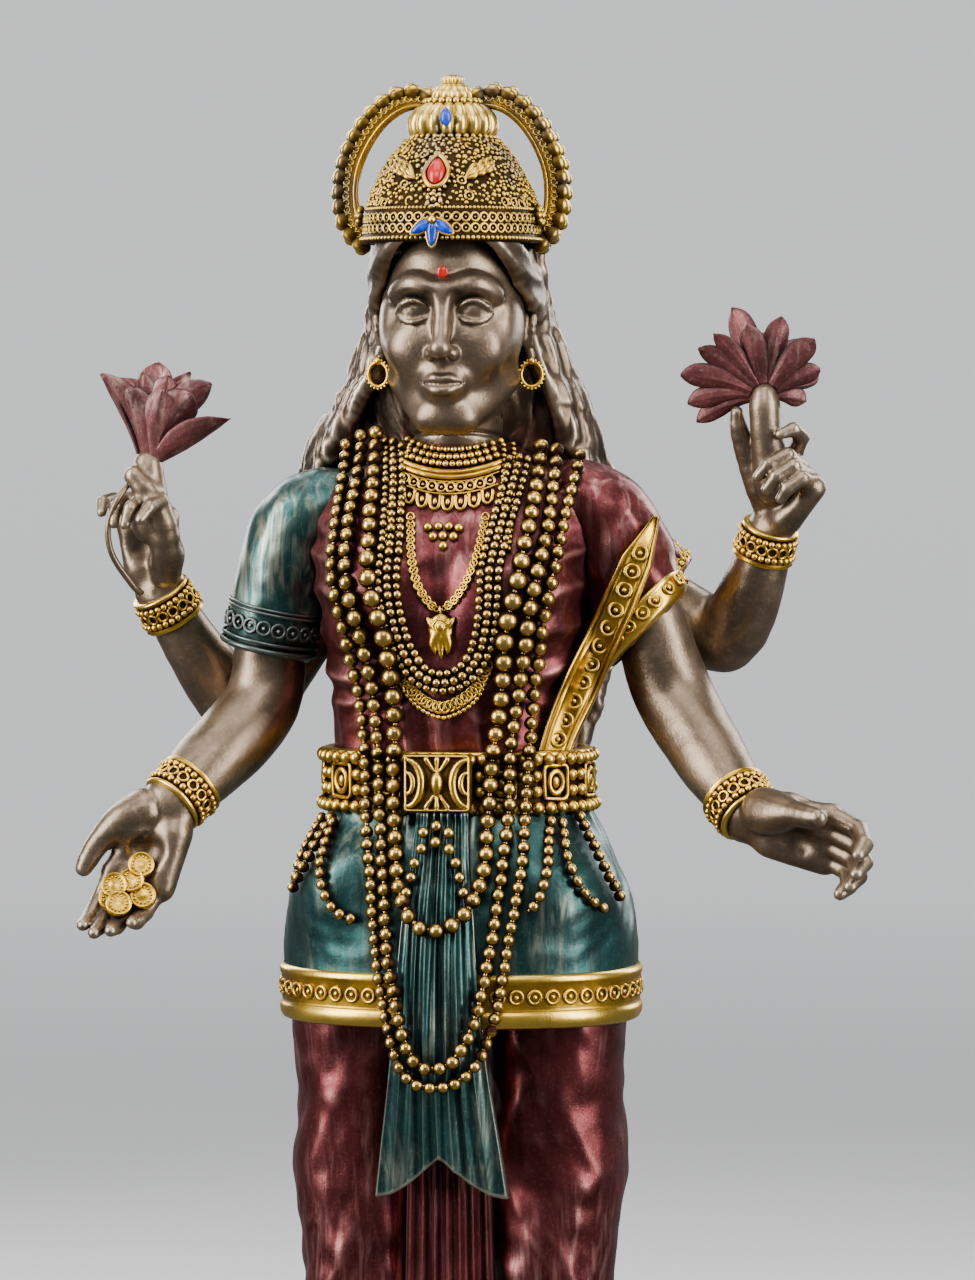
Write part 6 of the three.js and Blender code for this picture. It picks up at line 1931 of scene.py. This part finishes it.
# ---------------------------------------------------------------- lotus flowers
def petal(pile, base, tip, axis, width, out, spoon=False, thick=0.35, cup=0.35, rise=0.5, seed=0):
    """A petal from base to tip: a closed curved sheet whose back looks along out, with a midrib and ribs."""
    base, tip, axis, out = arr(*base), arr(*tip), unit(arr(*axis)), unit(arr(*out))
    length = np.linalg.norm(tip - base)
    t = np.linspace(0, 1, 21)[:, None]
    knee = base + axis * length * rise
    line = (1 - t) ** 2 * base + 2 * t * (1 - t) * knee + t**2 * tip
    along = unit(np.gradient(line, axis=0))
    across = unit(np.cross(along, out))
    inner = np.cross(across, along)
    inner = inner * np.where((inner * out).sum(1, keepdims=True) > 0, -1, 1)
    u = np.linspace(-1, 1, 13)[None, :]
    stops = ((0, 0.15, 0.4, 0.66, 0.84, 0.94, 1), (0.36, 0.48, 0.74, 1.0, 0.92, 0.62, 0.10)) if spoon else \
        ((0, 0.15, 0.35, 0.58, 0.80, 0.93, 1), (0.34, 0.58, 0.88, 1.0, 0.74, 0.34, 0.05))
    half = width / 2 * np.interp(t, *stops)
    half = np.vstack([half[:1], (half[:-2] + 2 * half[1:-1] + half[2:]) / 4, half[-1:]])
    lift = cup * half * u**2 + 0.05 * width * np.sin(seed + 5 * t + 2 * u) * np.abs(u)
    fade = np.maximum(1 - u**2, 0) * np.sin(np.pi * np.clip(t * 0.9 + 0.06, 0, 1))
    ribs = (0.075 * np.cos(u * 14 + seed) + 0.14 * np.exp(-((u / 0.16) ** 2))) * fade
    body = np.maximum(1 - u**2, 0.12) ** 0.5 * np.maximum(np.sin(np.pi * np.clip(t * 0.90 + 0.08, 0, 1)),
                                                          0.35) * thick
    middle = line[:, None, :] + across[:, None, :] * (half * u)[..., None] + inner[:, None, :] * lift[...,
            None]
    back = middle - inner[:, None, :] * (body + ribs)[..., None]
    face = middle + inner[:, None, :] * (body * 0.7 - ribs * 0.7)[..., None]
    v, f = grid_solid(back, face)
    grooves = 0.09 * np.cos(np.tile((u + 0 * t).ravel(), 2) * 14 + seed)
    pile.add(v, outward(v, f), None, hollows(v, f, 3, 1.3) - grooves * 0.8 + 0.01)


def right_lotus():
    """A half-open flower whose broad petals mostly turn their backs to the front."""
    pile = Pile()
    base = arr(-44.0, -0.9, 209.8)
    spec = [(-6.8, -1.8, 12.6, 5.6, (-0.45, -0.9, 0)), (-4.6, 2.2, 12.0, 5.4, (-0.5, 0.7, 0)),
            (-2.6, -3.0, 10.6, 5.0, (-0.35, -1, 0)),
            (2.6, -3.6, 10.6, 6.0, (0.12, -1, 0)), (6.6, -2.0, 9.6, 6.2, (0.42, -0.9, 0)),
            (0.4, 3.4, 14.2, 5.6, (-0.1, 1, 0)),
            (5.4, 3.0, 12.8, 5.6, (0.3, 1, 0)), (8.8, 1.2, 11.2, 5.0, (0.6, -0.7, 0)),
            (-2.8, 5.8, 10.8, 5.4, (-0.3, 1, 0)),
            (3.8, 6.6, 10.0, 5.6, (0.2, 1, 0.1)), (2.6, 0.4, 12.4, 5.2, (0.3, -1, 0)),
            (-1.2, 0.6, 12.8, 5.2, (-0.3, -1, 0))]
    for k, (dx, dy, dz, width, out) in enumerate(spec):
        petal(pile, base + unit(arr(dx, dy, 0.1)) * 1.1, base + arr(dx, dy, dz), (0.04, -0.05, 1), width,
              out, k % 3 != 0, 0.5, 0.5, 0.46, seed=k)
    petal(pile, base + arr(1.2, -0.6, 0.2), base + arr(12.0, -1.4, 6.2), (0.62, -0.1, 0.5), 5.4,
          (0.35, -0.65, -0.75), seed=21, rise=0.45)
    pile.build("right_lotus_petals", PETAL, "petal", ("right_lotus",))
    pile = Pile()
    stalk = spline([(-45.6, -1.6, 208.0), (-47.8, -3.9, 205.0), (-49.4, -4.4, 200.8), (-49.0, -3.6, 196.6),
                    (-46.6, -1.8, 192.4), (-45.4, -0.4, 190.9)], 40)
    put_tube(pile, stalk, np.linspace(0.40, 0.50, 40), (0, -1, 0), 9)
    pile.build("right_lotus_stalk", BRONZE, "bronze")


def left_lotus():
    """A full flower seen from below one side: thick spoon-shaped petals that spread like a fan."""
    pile = Pile()
    base = arr(44.3, -1.0, 219.4)

    def spread(petals, lean, across, out, rise, first):
        for k, (dx, dy, dz, width) in enumerate(petals):
            reach = unit(arr(dx, dy, dz))
            petal(pile, base + reach * 1.6, base + arr(dx, dy, dz) + arr(0, 0, 0.4),
                  unit(reach + arr(0, lean, 0.5)),
                  width, (across * np.sign(dx), out, rise), True, 0.8, 0.12, 0.42, seed=first + k)

    fan = [(-11.8, -1.5, 2.4, 3.9), (-11.0, 0.6, -1.6, 3.3), (-9.9, 2.6, -4.2, 2.9), (-9.2, -2.2, 6.2, 3.1),
           (-6.9, -3.2, 8.2, 2.9),
           (-4.9, 2.8, 11.9, 4.6), (-2.2, -3.4, 9.4, 4.0), (0.5, 1.0, 8.8, 3.4), (2.5, -1.8, 10.6, 3.7),
           (7.2, -2.2, 7.4, 4.0), (7.8, 0.8, 3.2, 3.2), (5.6, 3.0, -1.2, 2.9)]
    spread(fan, 0.1, 0.25, -1, -0.35, 0)
    behind = [(-6.0, 6.5, 7.0, 4.6), (0.4, 7.2, 8.0, 4.8), (5.4, 6.2, 7.2, 4.6), (-3.4, 8.8, 2.6, 4.4),
              (3.2, 8.8, 2.6, 4.4), (-7.8, 6.4, 1.8, 4.2), (7.0, 5.6, 2.4, 4.2), (0, 7.6, -1.2, 4.0)]
    spread(behind, 0, 0.2, 1, -0.5, 30)
    pile.build("left_lotus_petals", PETAL, "petal", ("left_lotus",))


def coins():
    pile = Pile()
    wrist, along, palm, side = RIGHT_PALM
    d, n, across = hand_axes(along, palm, side)
    a = turns(40)
    places = ((9.0, -0.4, 2.4), (11.6, -0.2, 3.0), (12.9, -2.6, 3.0), (15.4, -0.2, 4.4), (13.2, 1.6, 3.6),
              (15.0, 1.2, 3.7))
    for k, (far, aside, lift) in enumerate(places):
        centre = arr(*wrist) + d * far + across * aside + n * lift
        m = turned_to(unit(n + 0.12 * arr(math.cos(k * 2.3), 0, math.sin(k * 2.3)) - 0.25 * d), 0.7 * k)
        rows = [(-0.6, 0.01), (-0.6, 1.75), (-0.45, 1.9), (0.45, 1.9), (0.62, 1.8), (0.66, 1.62),
                (0.52, 1.5), (0.5, 0.8), (0.6, 0.5), (0.62, 0.01)]
        grid = np.array([np.stack([r * np.cos(a), r * np.sin(a), 0 * a + h], -1)
                         for h, r in rows]) @ m + arr(*centre)
        v, f, lids = capped(grid)
        pile.add(v, f, lids, np.concatenate([hollows(v[:-2], f, 2, 1.0), [0, 0]]) + 0.03)
        for b in turns(14):
            put_ball(pile, arr(math.cos(b) * 1.15, math.sin(b) * 1.15, 0.55) @ m + arr(*centre), 0.17, m[2])
    pile.build("palm_coins_cast", GOLD, "gold", ("coins",))


right_lotus()
left_lotus()
coins()


# ---------------------------------------------------------------- feet and base
def foot(side):
    s = 1 if side == "left" else -1
    x0 = ANKLE[side]
    d, w = arr(s * math.sin(0.16), -math.cos(0.16), 0), arr(-s * math.cos(0.16), -math.sin(0.16), 0)

    def at(along, across, up):
        return arr(x0, 1, 0) + d * along + w * across + arr(0, 0, up)

    c = Clay((x0 - 9, -22, 26.9), (x0 + 9, 9, 37.2), 0.32)
    c.put(rod(arr(x0, 1, 31), arr(x0, 1, 36.6), 3.7, 3.9), 0.5)
    c.put(egg(at(-2.6, 0, 30.2), (3.3, 3.9, 3.1)), 1.0)
    c.put(rod(at(0, 0, 31.4), at(9.5, 0.2, 29.4), 3.3, 2.1), 1.2)
    c.put(rod(at(0, -1.4, 29.6), at(10.5, -2.2, 28.9), 2.2, 1.7), 1.0)
    c.put(rod(at(0, 1.5, 29.7), at(11.0, 2.2, 29.1), 2.0, 1.9), 1.0)
    for ankle in (-1, 1):
        c.put(egg(at(-0.4, ankle * 3.3, 33.2), (1.1, 1.1, 1.2)), 0.8)
    toes = ((2.7, 17.6, 1.45), (0.75, 17.9, 1.08), (-0.85, 17.1, 1.0), (-2.3, 15.9, 0.95), (-3.6, 14.4, 0.92))
    for across, long, r in toes:
        c.put(rod(at(10, across * 0.92, 28.9), at(long - 2.6, across, 29.0), r * 1.02, r * 1.04), 0.35)
        c.put(rod(at(long - 2.6, across, 29.0), at(long - 0.6, across, 28.45), r * 1.04, r * 0.86), 0.22)
        nail = at(long - 0.5, across, 28.45 + r * 0.83)
        c.put(egg(nail, (r * 0.55, r * 0.62, r * 0.22)), 0.05)
    c.put(brick((x0, -7, 25.35), (14, 20, 2.0), edge=0.05), 0.1, cut=True)
    return c.mesh(2)


def level_circle(radius, z, count):
    a = turns(count)
    return np.stack([np.cos(a) * radius, np.sin(a) * radius, z + 0 * a], 1)


def beaded_ring(name, centre, radius, node_name, count):
    pile = Pile()
    put_tube(pile, level_circle(radius, 0, 80) + centre, 0.55, (0, 0, 1), 9, closed=True)
    for b in turns(count):
        n = arr(math.cos(b), math.sin(b), 0)
        put_ball(pile, n * (radius + 0.18) + centre, 0.72, n, mesh=BALL_SMALL)
    pile.build(name, GOLD, "gold", (node_name,))


def lathe(rows, count=160, ripple=None):
    a = turns(count)
    grid = []
    for r, z in rows:
        r = r + (ripple(a, r, z) if ripple else 0)
        grid.append(np.stack([r * np.sin(a), -r * np.cos(a), z + 0 * a], -1))
    return capped(np.array(grid))


def base_petals(name, node_name, root, tip, out, turn):
    """A ring of petals: each a bowed sheet with a raised rim, a pointed inner leaf and a curled tip."""
    pile = Pile()
    count = 14
    n, m = 26, 25
    t, u = np.meshgrid(np.linspace(0, 1, n), np.linspace(-1, 1, m), indexing="ij")
    arch = np.where(t < 0.55, 0.94 + 0.06 * np.sin(t / 0.55 * np.pi / 2),
                    np.sqrt(np.clip(1 - ((t - 0.55) / 0.462) ** 2, 0, 1)) ** 0.75)
    arch = np.maximum(arch, 0.03)
    half = math.pi / count * 1.02
    rim = smoothstep(0.72, 0.80,
                     np.maximum(np.abs(u), smoothstep(0.74, 1.0, t) * 0.92)) * (1
                             - smoothstep(0.93, 1.0, np.abs(u)))
    leaf = (1 - smoothstep(0.0, 0.08,
                           np.abs(u) - 0.44 * np.sqrt(np.clip(1 - ((t - 0.42) / 0.42) ** 2, 0, 1))))
    vein = np.exp(-((u / 0.045) ** 2)) * (t < 0.9)
    for k in range(count):
        b = 2 * math.pi * (k + turn) / count
        a = b + half * u * arch
        bulge = out * np.sin(np.pi * np.clip(t * 0.9, 0, 1)) * (1 - 0.55 * u**2)
        r = 30.2 + 2.6 * t + bulge * 0.5 - 0.9 * u**2 * (1 - t) + 0.45 * rim + 0.35 * leaf + 0.16 * vein
        r = np.minimum(r + 0.7 * smoothstep(0.82, 1.0, t), 34.3)
        z = root + (tip - root) * t
        front = np.stack([r * np.sin(a), -r * np.cos(a), z], -1)
        rear_r = np.minimum(r - 1.1, 30.4 + 2.2 * t)
        back = np.stack([rear_r * np.sin(a), -rear_r * np.cos(a), z], -1)
        v, f = grid_solid(front, back)
        pile.add_solid(v, f, 3, 1.6, 0.02)
    pile.build(name, PETAL, "petal", (node_name,))


def base():
    for side in ("right", "left"):
        save(f"{side}_foot_cast", foot(side), BRONZE, (f"{side}_foot",), 6, 1.0)
        beaded_ring(f"{side}_anklet_beads", arr(ANKLE[side], 1, 35), 5.2, f"{side}_anklet", 26)
    rows = [(33.2, 1.2), (33.9, 1.6), (34.0, 2.1), (33.7, 2.5), (32.6, 2.7), (31.0, 3.0), (29.9, 3.4),
            (29.4, 4.6), (29.3, 6), (29.3, 13), (29.4, 14.2),
            (29.45, 15.4), (29.3, 17), (29.3, 24), (29.1, 25.8), (28.6, 26.7), (27.6, 27.15)]
    v, f, lids = lathe(rows, 220)
    pile = Pile()
    pile.add(v, f, lids, np.concatenate([hollows(v[:-2], f, 2, 1.0), [0, 0]]))
    for r in (25.9, 23.6, 8.0, 4.0):
        put_tube(pile, level_circle(r, 27.13, 150), 0.28, (0, 0, 1), 7, closed=True)
    for b in turns(48):
        put_tube(pile, [(r * math.cos(b), r * math.sin(b), 27.1) for r in (8.4, 16, 23.2)], 0.18, (0, 0, 1),
                 6)
        put_ball(pile, arr(24.8 * math.cos(b), 24.8 * math.sin(b), 27.15), 0.55, (0, 0, 1), (1, 1, 0.7))
    pile.build("lotus_core_turned", BRONZE, "bronze", ("lotus_core",))
    base_petals("lower_petal_row", "lower_petals", 14.3, 3.0, 2.0, 0.0)
    base_petals("upper_petal_row", "upper_petals", 15.2, 26.9, 1.9, 0.5)
    pile = Pile()
    put_tube(pile, level_circle(28.1, 28.0, 160), 0.62, (0, 0, 1), 9, closed=True)
    for b in turns(104):
        n = unit(arr(math.cos(b), math.sin(b), 0.7))
        put_ball(pile, arr(28.4 * math.cos(b), 28.4 * math.sin(b), 28.25), 0.84, n, mesh=BALL_SMALL)
    pile.build("base_bead_rim", GOLD, "gold", ("base_bead_ring",))
    v, f, lids = lathe([(33.1, 0.0), (33.5, 0.12), (33.5, 1.05), (33.1, 1.22)], 200, lambda a, rad,
                       z: 0.12 * np.sin(a * 37) * np.sin(a * 11 + z))
    pile = Pile()
    pile.add(v, f, lids)
    pile.build("felt_disc", FELT, "felt", ("felt_pad",))


def felt():
    m = bpy.data.materials.new("felt")
    m.use_nodes = True
    t = m.node_tree
    coords = node(t, "ShaderNodeTexCoord").outputs["Object"]
    fibres = node(t, "ShaderNodeMapping",
                  {"Vector": coords, "Scale": (1800, 500, 1800), "Rotation": (0.3, 0.2, 0.6)}).outputs[0]
    matted = maths(t, "ADD", maths(t, "MULTIPLY", noise(t, fibres, 1.0, 5.0, 0.7, 1.2), 0.6),
                   maths(t, "MULTIPLY", noise(t, coords, 2600.0, 3.0), 0.4))
    shader = t.nodes["Principled BSDF"]
    t.links.new(blend_colour(t, ramp(t, matted, 0.35, 0.68), (0.006, 0.007, 0.006), (0.032, 0.035, 0.031)),
                shader.inputs["Base Color"])
    t.links.new(node(t, "ShaderNodeBump",
                     {"Height": matted, "Strength": 0.8, "Distance": 0.3 * MM}).outputs[0],
                     shader.inputs["Normal"])
    shader.inputs["Roughness"].default_value = 0.95
    return m


FELT = felt()
base()
